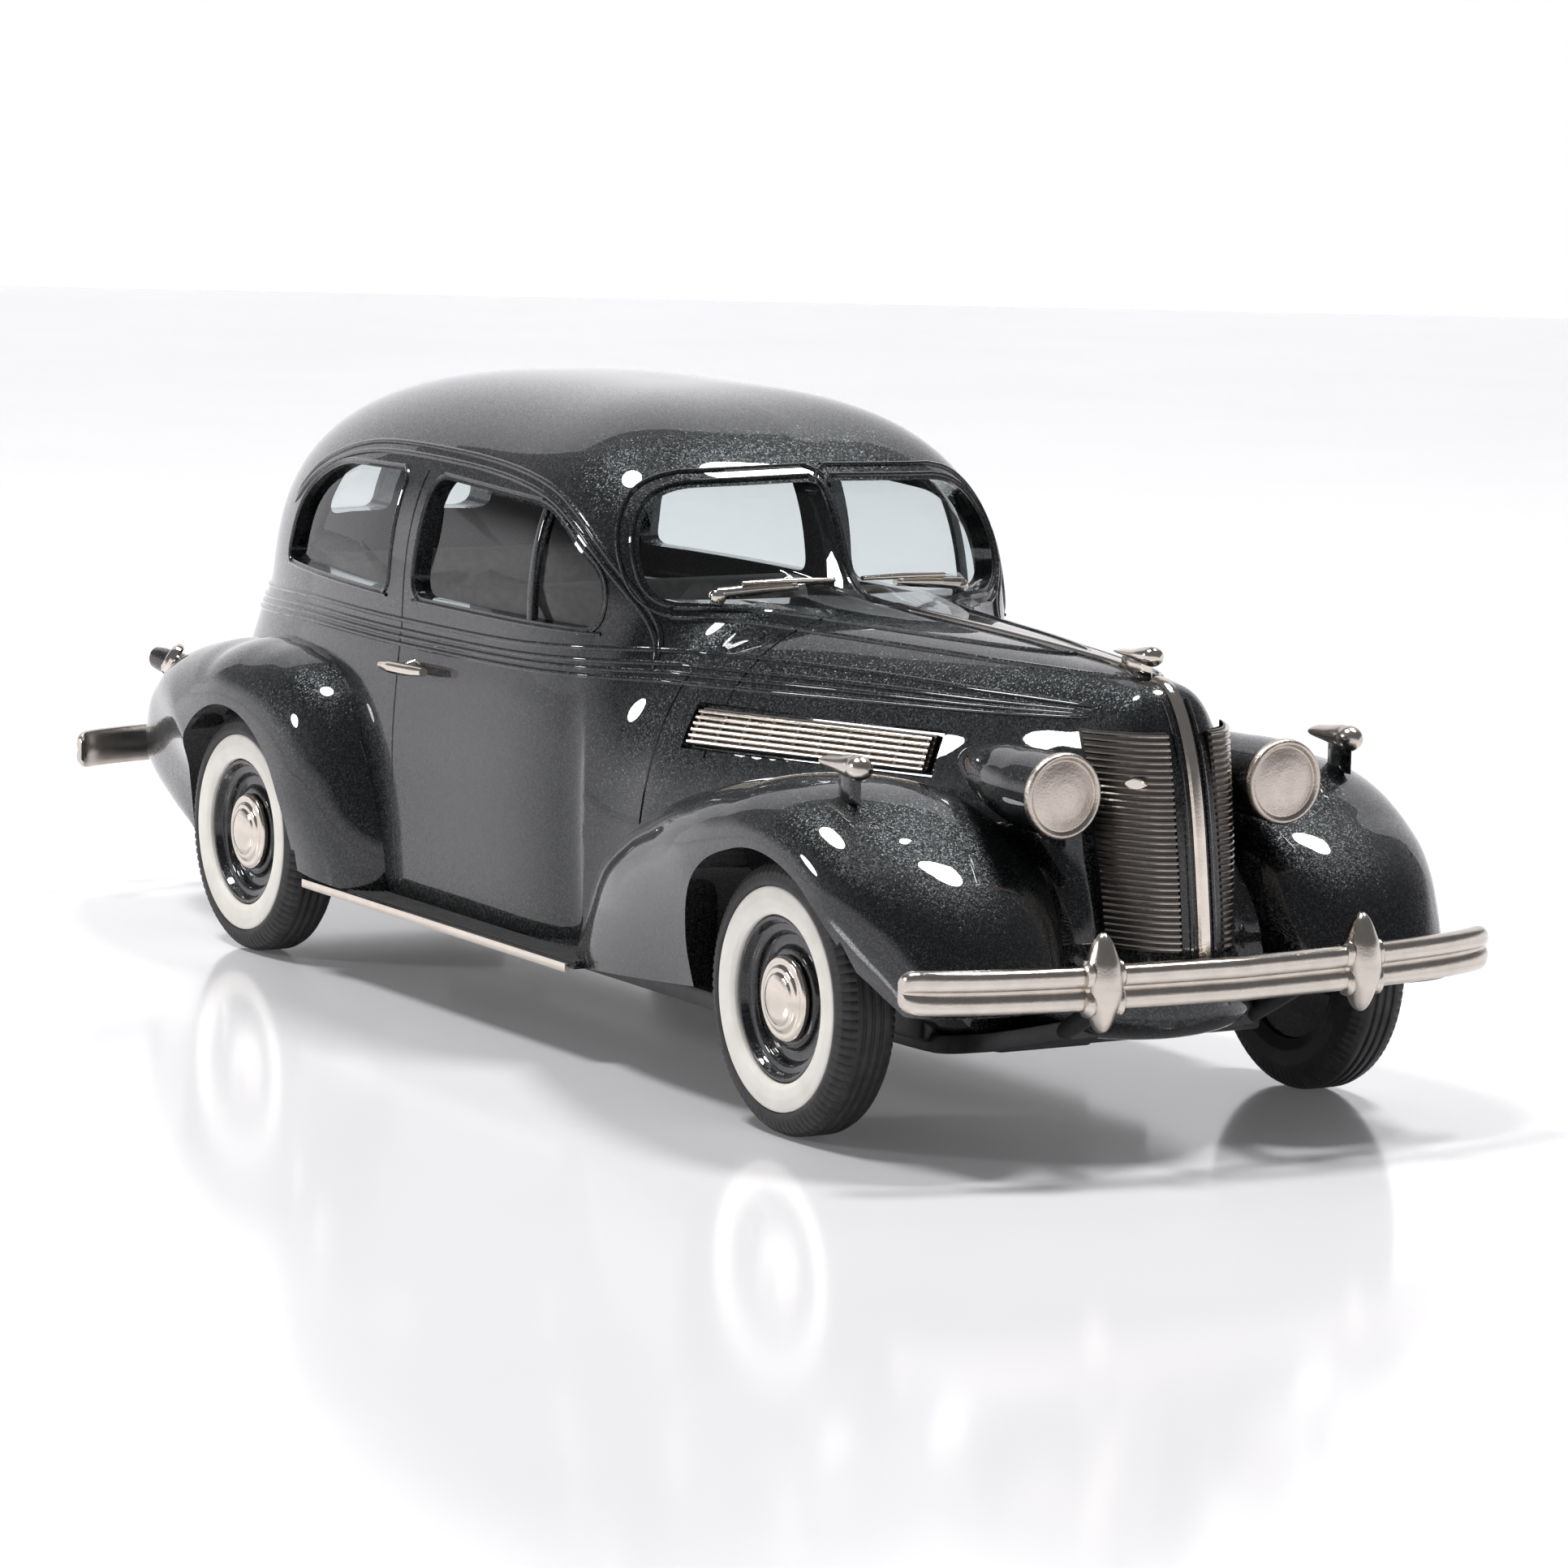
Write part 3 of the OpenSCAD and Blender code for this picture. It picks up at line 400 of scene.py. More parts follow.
# Fender tables by angle round the axle, in degrees: 0 is forward, 90 up and 180 back
FRONT_CROWN = [(4, 16), (25, 14.9), (40, 13.8), (52, 13.1), (64, 12.9), (90, 12.85), (114, 13.5), (135, 15.7),
               (154, 20.3), (164, 24.2), (171, 27.1), (180, 29.4), (185, 31)]
FRONT_ARCH = [(4, 12.2), (10, 10.6), (25, 8.9), (68, 8.8), (109, 9.1), (142, 10.1), (185, 10.4)]
FRONT_MID = [(4, 13.3), (40, 13.5), (90, 14.5), (140, 15.6), (185, 15.6)]
FRONT_EDGE = [(4, 18.6), (25, 20.2), (50, 21.2), (90, 21.4), (140, 21.2), (165, 20.4), (185, 19.5)]
REAR_CROWN = [(-8, 16.3), (3, 16.1), (22, 15.4), (42, 15.4), (56, 14.8), (71, 13.8), (88, 13.2), (110, 13.4),
              (126, 15), (140, 17.4), (155, 21.4), (165, 24), (172, 24.6), (180, 20), (187, 14.4)]
REAR_ARCH = [(-8, 8.9), (68, 8.7), (108, 8.8), (144, 9.5), (172, 11.2), (187, 12.6)]
REAR_MID = [(-8, 15.5), (90, 15), (150, 14.4), (187, 13.5)]
REAR_EDGE = [(-8, 20.2), (30, 21.2), (90, 21.3), (140, 20.8), (165, 18.9), (187, 17.4)]


def fender(axle_x, crown, arch, mid, edge, first, last, rows=110, cols=46):
    """D-shaped sections that run round the axle; each bulges from the arch's edge out to the crown."""
    a = np.linspace(first, last, rows)[:, None]
    u = np.sin(np.linspace(np.pi / 2, -np.pi / 2, cols))[None, :]
    low, high = curve(arch, a), curve(crown, a)
    r = low + (high - low) * (1 - np.abs(u) ** 2.3).clip(0) ** (1 / 2.3)
    y = curve(mid, a) + (curve(edge, a) - curve(mid, a)) * u
    rad = np.radians(a)
    return skin(np.stack([axle_x + r * np.cos(rad), y, WHEEL_Z + r * np.sin(rad)], -1))


def across(outline, y0, y1, plane="xz"):
    """A prism through an outline, standing along the third direction."""
    o = np.asarray(outline, float)
    lay = (lambda v: np.stack([o[:, 0], 0 * o[:, 0] + v, o[:, 1]], -1)) if plane == "xz" else (
        lambda v: np.stack([0 * o[:, 0] + v, o[:, 0], o[:, 1]], -1))
    return skin(np.stack([lay(y0), lay(y1)]))


def box(lo, hi):
    (x0, y0, z0), (x1, y1, z1) = lo, hi
    ring = np.array([(x0, y0), (x1, y0), (x1, y1), (x0, y1)], float)
    return skin(np.stack([np.c_[ring, np.full(4, z0)], np.c_[ring, np.full(4, z1)]]))


DOOR_WINDOW = rounded([(-11.6, 26.15), (-11.3, 33.9), (4.5, 33.4), (10.5, 29.4), (10.4, 26.3)],
                      (1.6, 1.4, 2.6, 1.6, 1.2))
QUARTER_WINDOW = rounded([(-34.6, 26.3), (-33.1, 31.0), (-27.5, 33.5), (-15.8, 33.9), (-15.6, 26.1)],
                         (1.2, 3.2, 3.0, 1.1, 1.1))
SCREEN = rounded([(0.34, 28.1), (0.34, 35.3), (11.0, 35.0), (13.0, 32), (12.7, 28.2)],
                 (0.7, 0.8, 2.6, 2.2, 1.8))
REAR_SCREEN = rounded([(0.6, 28), (0.6, 32.4), (5.6, 32.2), (6.6, 28)], (0.8, 0.8, 1.6, 1.4))
DRIP = [(-35.6, 30.6), (-31, 33.4), (-22.3, 35.3), (-8.7, 35.6), (1.5, 34.9), (6.9, 33.2), (11.2, 29.9),
        (13.6, 26.6), (14.3, 24.6)]


def side_line(points, count, size, off=0.0, flat=0.8, ends=True):
    """A thin raised moulding along (x, z) points on the body's left side."""
    path = resampled(points, count)
    at = side_point(path[:, 0], path[:, 1], off)
    fade = np.clip(np.minimum(np.arange(count), np.arange(count)[::-1]) / 4 + 0.3, 0, 1) if ends else None
    return swept(at, circle(size, 10, flat), normal_at(at), sizes=fade)


def loop_line(outline, size, face, off=0.0):
    """A raised bead that follows a closed outline on the side or the front of the body."""
    path = resampled(outline, 120, loop=True)
    at = side_point(path[:, 0], path[:, 1], off) if face == "side" else front_point(path[:, 0], path[:, 1],
        off)
    return swept(at, circle(size, 8), normal_at(at), loop=True)


def casting(look):
    """The painted body: shapes run together, then windows, arches, lines and the hollow taken out."""
    pods = [skin(np.stack([np.stack([x + 0 * t, cy + r * np.cos(t), cz + r * np.sin(t)], -1) for x, r, cy,
                           cz in rows]))
            for t in [np.linspace(0, 2 * np.pi, 48, endpoint=False)]
            for rows in [[(x, r, np.interp(x, [41, 50], [6.9, LAMP[1]]),
                           np.interp(x, [41, 49], [21.6, LAMP[2]]))
                          for x, r in zip(np.linspace(40.6, 52.6, 26), curve(
                              [(0, 0.05), (0.6, 0.62), (2, 1.18), (4.5, 1.83), (7, 2.22), (9.5, 2.4),
                               (12, 2.45)],
                              np.linspace(0, 12, 26)))]]]
    board = skin(np.stack([np.c_[np.full(8, x), rounded([(14, 4.9), (19.15, 4.9), (19.15, 6.15), (14, 6.15)],
                                                        0.25, 2)]
                           for x in (-24.0, 15.5)]))
    tail_pod = skin(np.stack([np.stack([x + 0 * t, y + r * np.cos(t), z + 1.15 * r * np.sin(t)], -1)
                              for t in [np.linspace(0, 2 * np.pi, 32, endpoint=False)]
                              for x, y, z, r in zip(np.linspace(-47.5, -56.6, 14), np.linspace(12.6, 14, 14),
                                                    np.linspace(15.9, 16.8, 14),
                                                    [0.1, 0.35, 0.55, 0.68, 0.76, 0.8, 0.82, 0.84, 0.84, 0.84,
                                                     0.83, 0.81, 0.78, 0.7])]))
    belt = [side_line([(-46.5, 21.7 + g), (-30, 22.7 + g), (-13.4, 22.85 + g), (2, 23.1 + g),
                       (15, 23.5 + g * 1.15),
                       (30, 24.05 + g), (42, 24.5 + g * 0.7), (49.5, 24.95 + g * 0.4)], 260, 0.17)
                       for g in (0, 0.45, 0.9, 1.6)]
    drips = [side_line([(x, z - d) for x, z in DRIP], 150, 0.2) for d in (0, 0.62)]
    surround = ([loop_line(grown(SCREEN, d), 0.17, "front") for d in (0.35, 0.95)]
                + [loop_line(grown(o, 0.3), 0.14, "side") for o in (DOOR_WINDOW, QUARTER_WINDOW)])
    nose_ribs = [swept(front_point(0.78, np.linspace(10.6, 26.2, 60)), circle(0.17, 8),
                       normal_at(front_point(0.78, np.linspace(10.6, 26.2, 60))))]
    solids = [main_body()]
    half = [fender(FRONT_AXLE, FRONT_CROWN, FRONT_ARCH, FRONT_MID, FRONT_EDGE, 4, 185),
            fender(REAR_AXLE, REAR_CROWN, REAR_ARCH, REAR_MID, REAR_EDGE, -8, 187),
            *pods, board, tail_pod, *belt, *drips, *surround, *nose_ribs]
    for s in half:
        solids += both(s)
    hollow = lambda x, y, z: np.maximum(cabin_field(x, y, z) + 1.15, x - 13.3)
    t = np.linspace(0, 2 * np.pi, 64, endpoint=False)
    inner = [reach_out(np.stack([0 * t - 8, 0 * t, 0 * t + z], -1),
                       np.stack([np.cos(t), np.sin(t), 0 * t], -1), 60, hollow)
             for z in np.r_[3.9, np.linspace(6.1, 24, 10), 24 + 15 * np.linspace(0.06, 0.985, 22)]]
    cut = [skin(np.stack(inner))]
    arch_a = np.linspace(0, 2 * np.pi, 72, endpoint=False)
    ring = np.c_[9.35 * np.cos(arch_a), 9.35 * np.sin(arch_a)]
    for x in (FRONT_AXLE, REAR_AXLE):
        outline = np.c_[ring[:, 0] + x, np.where(ring[:, 1] > 0, ring[:, 1] + WHEEL_Z,
                                                 np.maximum(ring[:, 1] * 1.6, -9) + WHEEL_Z)]
        cut += both(across(outline, 12.6, 20.45))
    cut += both(across(DOOR_WINDOW, 10, 24)) + both(across(QUARTER_WINDOW, 10, 24))
    cut += both(across(SCREEN, 2, 22, "yz")) + both(across(REAR_SCREEN, -60, -34, "yz"))
    line_z = np.linspace(6.9, 34.2, 90)
    groove = circle(0.11, 6)
    door_rear = side_point(-13 + 0 * line_z, line_z)
    z2 = np.linspace(6.9, 24.2, 60)
    door_front = side_point(17.1 + 0.0 * z2, z2)
    cowl_y = np.linspace(-13.6, 13.6, 90)
    cowl = top_point(21.9 - 0.3 * (cowl_y / 13.6) ** 2, cowl_y)
    for line in (door_rear, door_front):
        cut += both(swept(line, groove, normal_at(line)))
    cut.append(swept(cowl, groove, normal_at(cowl)))
    cut.append(box((-70, -30, -5), (70, 30, BASE_TOP)))
    cut.append(box((47.5, -30, -5), (70, 30, NOSE_BOTTOM)))
    lx = np.linspace(19.4, 39.6, 40)
    lift = (lx - 21.6) * 0.02
    rows = []
    for x, up in zip(lx, lift):
        zz = np.array([19.95, 22.75, 22.75, 19.95]) + up
        y = side_point(np.full(4, x), zz)[:, 1] + np.array([1.2, 1.2, -0.55, -0.55])
        rows.append(np.stack([np.full(4, x), y, zz], -1))
    cut += both(skin(np.stack(rows)))
    gz = np.linspace(11.75, 24.65, 40)
    rows = []
    for z in gz:
        edge = float(curve(GRILLE_EDGE, z)) + 0.12
        y = np.linspace(1.38, edge, 14)
        x = nose_x(y, z)
        rows.append(np.concatenate([np.stack([x - 0.42, y, 0 * y + z], -1),
                                    np.stack([x + 1.5, y, 0 * y + z], -1)[::-1]]))
    cut += both(skin(np.stack(rows)))
    body = carved("body_casting", solids, cut)
    return dress(body, look, "car", ["body_shell"], 32)


# ---------------------------------------------------------------- looks
class Look:
    """A principled surface and a short way to add nodes to it."""

    def __init__(self, name, **sockets):
        self.material = bpy.data.materials.new(name)
        self.material.use_nodes = True
        self.tree = self.material.node_tree
        self.surface = self.tree.nodes["Principled BSDF"]
        for key, value in sockets.items():
            self.surface.inputs[key.replace("_", " ")].default_value = value
        self.place = self.add("ShaderNodeTexCoord").outputs["Object"]

    def add(self, kind, **settings):
        node = self.tree.nodes.new(kind)
        for key, value in settings.items():
            if hasattr(node, key):
                setattr(node, key, value)
            else:
                node.inputs[key.replace("_", " ")].default_value = value
        return node

    def link(self, a, b):
        self.tree.links.new(a, b)

    def noise(self, scale, detail=3.0, rough=0.5):
        node = self.add("ShaderNodeTexNoise", Scale=scale, Detail=detail, Roughness=rough)
        self.link(self.place, node.inputs["Vector"])
        return node.outputs["Fac"]

    def ramp(self, source, low, high, first=(0, 0, 0, 1), second=(1, 1, 1, 1)):
        node = self.add("ShaderNodeValToRGB")
        ends = node.color_ramp.elements
        ends[0].position, ends[1].position = low, high
        ends[0].color, ends[1].color = first, second
        self.link(source, node.inputs["Fac"])
        return node.outputs["Color"]

    def bump(self, height, strength, distance, socket="Normal"):
        node = self.add("ShaderNodeBump", Strength=strength, Distance=distance)
        self.link(height, node.inputs["Height"])
        self.link(node.outputs["Normal"], self.surface.inputs[socket])
        return node


def paint_look(name="metallic paint", dark=(0.0050, 0.0054, 0.0060, 1), flake=(0.050, 0.056, 0.058, 1)):
    """Charcoal paint: a near-black ground with tiny tilted metal flakes, under a clear coat."""
    look = Look(name, Metallic=0.85, Roughness=0.36, Coat_Weight=1.0, Coat_Roughness=0.018, Coat_IOR=1.5)
    flakes = look.add("ShaderNodeTexVoronoi", Scale=13000.0)
    look.link(look.place, flakes.inputs["Vector"])
    pick = look.add("ShaderNodeSeparateColor")
    look.link(flakes.outputs["Color"], pick.inputs["Color"])
    silver = look.ramp(pick.outputs["Red"], 0.45, 1.0, dark, flake)
    look.link(silver, look.surface.inputs["Base Color"])
    normal = look.add("ShaderNodeNewGeometry").outputs["Normal"]
    centre = look.add("ShaderNodeVectorMath", operation="SUBTRACT")
    look.link(flakes.outputs["Color"], centre.inputs[0])
    centre.inputs[1].default_value = (0.5, 0.5, 0.5)
    scale = look.add("ShaderNodeVectorMath", operation="SCALE")
    look.link(centre.outputs["Vector"], scale.inputs[0])
    scale.inputs["Scale"].default_value = 0.42
    total = look.add("ShaderNodeVectorMath", operation="ADD")
    look.link(scale.outputs["Vector"], total.inputs[0])
    look.link(normal, total.inputs[1])
    unit = look.add("ShaderNodeVectorMath", operation="NORMALIZE")
    look.link(total.outputs["Vector"], unit.inputs[0])
    look.link(unit.outputs["Vector"], look.surface.inputs["Normal"])
    look.bump(look.noise(420, 3, 0.6), 0.03, 0.0001, "Coat Normal")
    return look.material


def nickel_look(name="nickel plate", tone=(0.80, 0.73, 0.66, 1), rough=(0.10, 0.26), pits=0.35):
    """Warm bright plating, finely pitted, a little uneven in gloss."""
    look = Look(name, Metallic=1.0)
    cloud = look.noise(900, 4)
    look.link(look.ramp(cloud, 0.3, 0.75, tone, tuple(v * 0.86 for v in tone[:3]) + (1,)),
              look.surface.inputs["Base Color"])
    span = look.add("ShaderNodeMapRange", To_Min=rough[0], To_Max=rough[1])
    look.link(look.noise(2600, 4), span.inputs["Value"])
    look.link(span.outputs["Result"], look.surface.inputs["Roughness"])
    look.bump(look.noise(6500, 4, 0.7), pits, 0.00004)
    return look.material


def matte_look(name, low, high, rough, grain=2500, bump=0.3, depth=0.00005, **more):
    """A plain moulded surface: two close tones mixed by cloudy grain, with a fine bump."""
    look = Look(name, Roughness=rough, **more)
    look.link(look.ramp(look.noise(grain * 0.3, 4), 0.35, 0.68, low, high), look.surface.inputs["Base Color"])
    look.bump(look.noise(grain, 4), bump, depth)
    return look.material


def glass_look():
    """Clear moulded glazing: mostly see-through, with a gloss that grows at a slant and faint ripples."""
    look = Look("clear glazing", Roughness=0.02)
    tree = look.tree
    through = look.add("ShaderNodeBsdfTransparent")
    through.inputs["Color"].default_value = (0.93, 0.95, 0.95, 1)
    gloss = look.add("ShaderNodeBsdfGlossy", Roughness=0.015)
    edge = look.add("ShaderNodeFresnel", IOR=1.6)
    ripple = look.add("ShaderNodeBump", Strength=0.06, Distance=0.0001)
    look.link(look.noise(350, 2), ripple.inputs["Height"])
    look.link(ripple.outputs["Normal"], gloss.inputs["Normal"])
    side = look.add("ShaderNodeNewGeometry")
    front = look.add("ShaderNodeMath", operation="SUBTRACT")
    front.inputs[0].default_value = 1.0
    look.link(side.outputs["Backfacing"], front.inputs[1])
    share = look.add("ShaderNodeMath", operation="MULTIPLY")
    look.link(edge.outputs["Fac"], share.inputs[0])
    look.link(front.outputs["Value"], share.inputs[1])
    mix = look.add("ShaderNodeMixShader")
    look.link(share.outputs["Value"], mix.inputs["Fac"])
    look.link(through.outputs["BSDF"], mix.inputs[1])
    look.link(gloss.outputs["BSDF"], mix.inputs[2])
    look.link(mix.outputs["Shader"], tree.nodes["Material Output"].inputs["Surface"])
    tree.nodes.remove(look.surface)
    return look.material


PAINT = paint_look()
RIM_PAINT = paint_look("rim paint", (0.006, 0.0065, 0.007, 1), (0.03, 0.034, 0.036, 1))
NICKEL = nickel_look(tone=(0.66, 0.605, 0.545, 1))
BRIGHT = nickel_look("bright nickel", (0.74, 0.675, 0.60, 1), (0.05, 0.15), 0.18)
BASE_BLACK = matte_look("base black", (0.018, 0.018, 0.019, 1), (0.035, 0.035, 0.036, 1), 0.42)
RUBBER = matte_look("tyre rubber", (0.012, 0.012, 0.013, 1), (0.03, 0.03, 0.031, 1), 0.55, 3000, 0.35)
WHITE_RUBBER = matte_look("white sidewall", (0.80, 0.77, 0.70, 1), (0.88, 0.86, 0.80, 1), 0.5, 1800, 0.15)
TRIM_CLOTH = matte_look("interior grey", (0.27, 0.26, 0.245, 1), (0.36, 0.35, 0.33, 1), 0.75, 5000, 0.5)
CREAM = matte_look("cream plastic", (0.74, 0.68, 0.54, 1), (0.82, 0.77, 0.64, 1), 0.35, 1500, 0.1)
STEEL = nickel_look("drawn steel", (0.5, 0.5, 0.5, 1), (0.25, 0.4), 0.3)
RED = matte_look("red lens", (0.30, 0.008, 0.006, 1), (0.42, 0.015, 0.01, 1), 0.1, 1200, 0.1, Coat_Weight=1.0)
MAT_RUBBER = matte_look("running board mat", (0.015, 0.015, 0.016, 1), (0.03, 0.03, 0.03, 1), 0.6)
GLAZING = glass_look()

casting(PAINT)


# ---------------------------------------------------------------- glazing
def pane(outline, face, depth, thick=0.35):
    """A pane that follows the body's skin, a set depth inside it."""
    rows = []
    for share in (0.0, 0.35, 0.7, 1.0):
        o = outline.mean(0) + (outline - outline.mean(0)) * share * 0.997
        flat = side_point(o[:, 0], o[:, 1]) if face == "side" else front_point(o[:, 0], o[:, 1])
        rows.append(flat)
    axis = 1 if face == "side" else 0
    outer, inner = np.stack(rows), np.stack(rows)
    outer[..., axis] -= depth
    inner[..., axis] -= depth + thick
    loop = np.concatenate([outer[1:], inner[1:][::-1]])
    return skin(loop)


def rear_pane(outline):
    t = np.stack([outline.mean(0) + (outline - outline.mean(0)) * s * 0.997 for s in (0.4, 0.7, 1.0)])
    start = np.stack([0 * t[..., 0] - 8, t[..., 0], t[..., 1]], -1)
    at = reach_out(start, np.broadcast_to([-1.0, 0, 0], start.shape), 60)
    outer, inner = at.copy(), at.copy()
    outer[..., 0] += 0.5
    inner[..., 0] += 0.85
    return skin(np.concatenate([outer, inner[::-1]]))


for name, outline, face, depth in (("door_glass", DOOR_WINDOW, "side", 0.6),
                                   ("quarter_glass", QUARTER_WINDOW, "side", 0.6),
                                   ("windscreen", SCREEN, "front", 0.9)):
    left = pane(outline, face, depth)
    piece(name + "_pane_left", left, GLAZING, "car", [name + "_left"], 50)
    piece(name + "_pane_right", mirrored(left), GLAZING, "car", [name + "_right"], 50)
left = rear_pane(REAR_SCREEN)
piece("rear_pane_left", left, GLAZING, "car", ["rear_glass_left"], 50)
piece("rear_pane_right", mirrored(left), GLAZING, "car", ["rear_glass_right"], 50)
vent = side_point(np.full(24, 3.6) + np.linspace(0.25, -0.25, 24), np.linspace(26.2, 33.3, 24), -0.45)
piece("vent_bars", both(swept(vent, rounded([(-0.28, -0.3), (0.28, -0.3), (0.28, 0.3), (-0.28, 0.3)], 0.12,
                                            3), normal_at(vent))),
      PAINT, "car")

# ---------------------------------------------------------------- wheels
TYRE = softened([(4.97, -3.6), (5.7, -3.92), (6.6, -4), (7.5, -3.75), (7.95, -3.35), (8.13, -2.95),
                 (8.15, -2.66),
                 (8.0, -2.6), (8.0, -2.46), (8.15, -2.4), (8.15, -2.08), (8.0, -2.02), (8.0, -1.88),
                 (8.15, -1.82),
                 (8.15, -1.5), (8.0, -1.44), (8.0, -1.3), (8.15, -1.24), (8.13, -0.95), (7.95, -0.5),
                 (7.5, -0.14),
                 (6.95, 0.0), (6.68, -0.06), (6.67, -0.5), (4.97, -0.5)], 0.09, 4)
WHITEWALL = softened([(4.97, -0.5), (6.65, -0.5), (6.65, -0.08), (6.5, -0.01), (5.9, 0.03), (5.3, -0.04),
                      (4.98, -0.22), (4.97, -0.4)], 0.08, 4)
RIM = softened([(0.82, -3.4), (4.95, -3.4), (4.95, -0.52), (4.84, -0.36), (4.66, -0.38), (4.5, -0.72),
                (4.42, -0.86),
                (4.1, -0.9), (3.96, -0.98), (3.84, -1.3), (3.72, -1.42), (3.2, -1.42), (3.08, -1.36),
                (2.95, -1.1),
                (2.72, -1.02), (0.82, -1.02)], 0.06, 4)
HUBCAP = softened([(0.001, -1.0), (2.48, -1.0), (2.6, -0.82), (2.57, -0.62), (2.42, -0.5), (2.26, -0.47),
                   (2.1, -0.5),
                   (1.98, -0.46), (1.86, -0.34), (1.7, -0.3), (1.6, -0.31), (1.45, -0.2), (1.15, -0.1),
                   (0.7, -0.03),
                   (0.3, 0.0), (0.001, 0.01)], 0.06, 4)


def wheel_turn(x, side):
    """Local z points outwards from the car; z = 0 is the tyre's outer face."""
    return np.array([[1, 0, 0], [0, 0, side], [0, 1, 0]], float), np.array([x, side * WHEEL_FACE, WHEEL_Z])


def ribbed_tyre(at, axle_x, side):
    """The tyre turned from its profile, its shoulder notched by 90 shallow grooves that run outwards."""
    verts, faces = turned(TYRE, 360, at, False)
    v = verts - [axle_x, side * WHEEL_FACE, WHEEL_Z]
    r, turn, depth = np.hypot(v[:, 0], v[:, 2]), np.arctan2(v[:, 2], v[:, 0]), -v[:, 1] * side
    groove = (np.cos(90 * turn) > 0.1) & (r > 7.05) & (r < 8.12) & ((depth < 0.9) | (depth > 3.1))
    inward = np.where(groove, 0.07, 0)[:, None]
    return verts - inward * np.stack([v[:, 0] / r, side * np.where(depth < 2, 0.8, -0.8), v[:, 2] / r],
                                     1), faces


for end, x in (("front", FRONT_AXLE), ("rear", REAR_AXLE)):
    for hand, side in (("right", -1), ("left", 1)):
        at = wheel_turn(x, side)
        tag, body = f"{end}_{hand}", end + "_wheelset"
        piece("rubber_" + tag, ribbed_tyre(at, x, side), RUBBER, body, ["tyre_" + tag], 35)
        piece("sidewall_" + tag, turned(WHITEWALL, 128, at, False), WHITE_RUBBER, body,
              ["whitewall_" + tag], 45)
        piece("wheel_disc_" + tag, turned(RIM, 96, at, False), RIM_PAINT, body, ["rim_" + tag],
              40)
        piece("cap_" + tag, turned(HUBCAP, 96, at), BRIGHT, body, ["hubcap_" + tag], 45)

# ---------------------------------------------------------------- plated front
def grille(side):
    """Thirty-three thin bars, each bent along the nose's V, over a backing whose dark tone is painted shade.
    """
    shapes = []
    pitch = (24.5 - 11.95) / 33
    section = np.array([(-0.14, 0.12), (-0.02, 0.17), (0.1, 0.12), (0.13, 0.0), (0.1, -0.12), (-0.02, -0.14),
                        (-0.14, -0.1)])
    for i in range(33):
        z = 11.95 + pitch * (i + 0.5)
        y = np.linspace(1.44, float(curve(GRILLE_EDGE, z)) + 0.02, 18)
        path = np.stack([nose_x(y, z) - 0.02, y, 0 * y + z], -1)
        normal = normal_at(np.stack([nose_x(y, z), y, 0 * y + z], -1)) * [1, 1, 0]
        bar = swept(path, section * [0.72, 1], normal / np.linalg.norm(normal, axis=1, keepdims=True))
        shapes.append(bar)
    return shapes if side > 0 else [mirrored(s) for s in shapes]


def grille_back(side):
    rows = []
    for z in np.linspace(11.9, 24.5, 20):
        y = np.linspace(1.42, float(curve(GRILLE_EDGE, z)) + 0.05, 12)
        x = nose_x(y, z)
        rows.append(np.concatenate([np.stack([x - 0.38, y, 0 * y + z], -1),
                                    np.stack([x - 0.16, y, 0 * y + z], -1)[::-1]]))
    s = skin(np.stack(rows))
    return s if side > 0 else mirrored(s)


# dark nickel for the backings behind the grille bars and louvre ribs: painted shade, the plating darkened
# where it lies in shadow between the bars
BACKING_PAINTED_SHADE = nickel_look("grille backing painted shade", (0.10, 0.09, 0.085, 1), (0.35, 0.5), 0.4)
for hand, side in (("right", -1), ("left", 1)):
    piece("grille_bars_" + hand, grille(side), NICKEL, "car", ["grille_" + hand], 40)
    piece("grille_back_" + hand, grille_back(side), BACKING_PAINTED_SHADE, "car", (), 40)

z = np.r_[np.linspace(11.0, 24, 40), np.linspace(24.3, 26.2, 14)]
line = front_point(0 * z, z)
tops = top_point(np.linspace(52.6, 50.9, 8), 0)
line = np.concatenate([line, tops])
strip_section = np.array([(-0.42, -0.25), (0.42, -0.25), (0.42, 0.12), (0.30, 0.26), (0.12, 0.3),
                          (-0.12, 0.3), (-0.30, 0.26), (-0.42, 0.12)])
piece("nose_moulding", swept(resampled(line, 90), strip_section, normal_at(resampled(line, 90))), BRIGHT,
      "car", ["nose_strip"], 30)
x = np.linspace(21.7, 47.2, 60)
line = top_point(x, 0)
piece("hood_moulding", swept(line, strip_section * [0.68, 1.0], normal_at(line)), BRIGHT, "car",
      ["hood_strip"], 30)


def drop(rows, n=28):
    """A streamlined body from rows of (x, y, z, half width, half height)."""
    a = np.linspace(0, 2 * np.pi, n, endpoint=False)
    return skin(np.stack([np.stack([x + 0 * a, y + w * np.cos(a), z + h * np.sin(a)], -1) for x, y, z, w,
                          h in rows]))


s = np.linspace(0, 1, 22)
wide = curve([(0, 0.02), (0.03, 0.36), (0.08, 0.55), (0.16, 0.7), (0.3, 0.72), (0.6, 0.6), (0.9, 0.46),
              (1, 0.3)], s)
tall = curve([(0, 0.02), (0.03, 0.34), (0.08, 0.5), (0.16, 0.6), (0.3, 0.55), (0.6, 0.3), (0.9, 0.16),
              (1, 0.1)], s)
shapes = [drop([(51.05 - 4.4 * k, 0, 28.45 - 0.05 * k, w, h) for k, w, h in zip(s, wide, tall)]),
          drop([(x, 0, 27.7, w, 0.55) for x, w in zip(np.linspace(50.3, 47.2, 12),
                                                      curve([(0, 0.05), (0.2, 0.36), (0.6, 0.34), (1, 0.1)],
                                                          np.linspace(0, 1, 12)))])]
piece("hood_figure", shapes, BRIGHT, "car", ["hood_ornament"], 40)

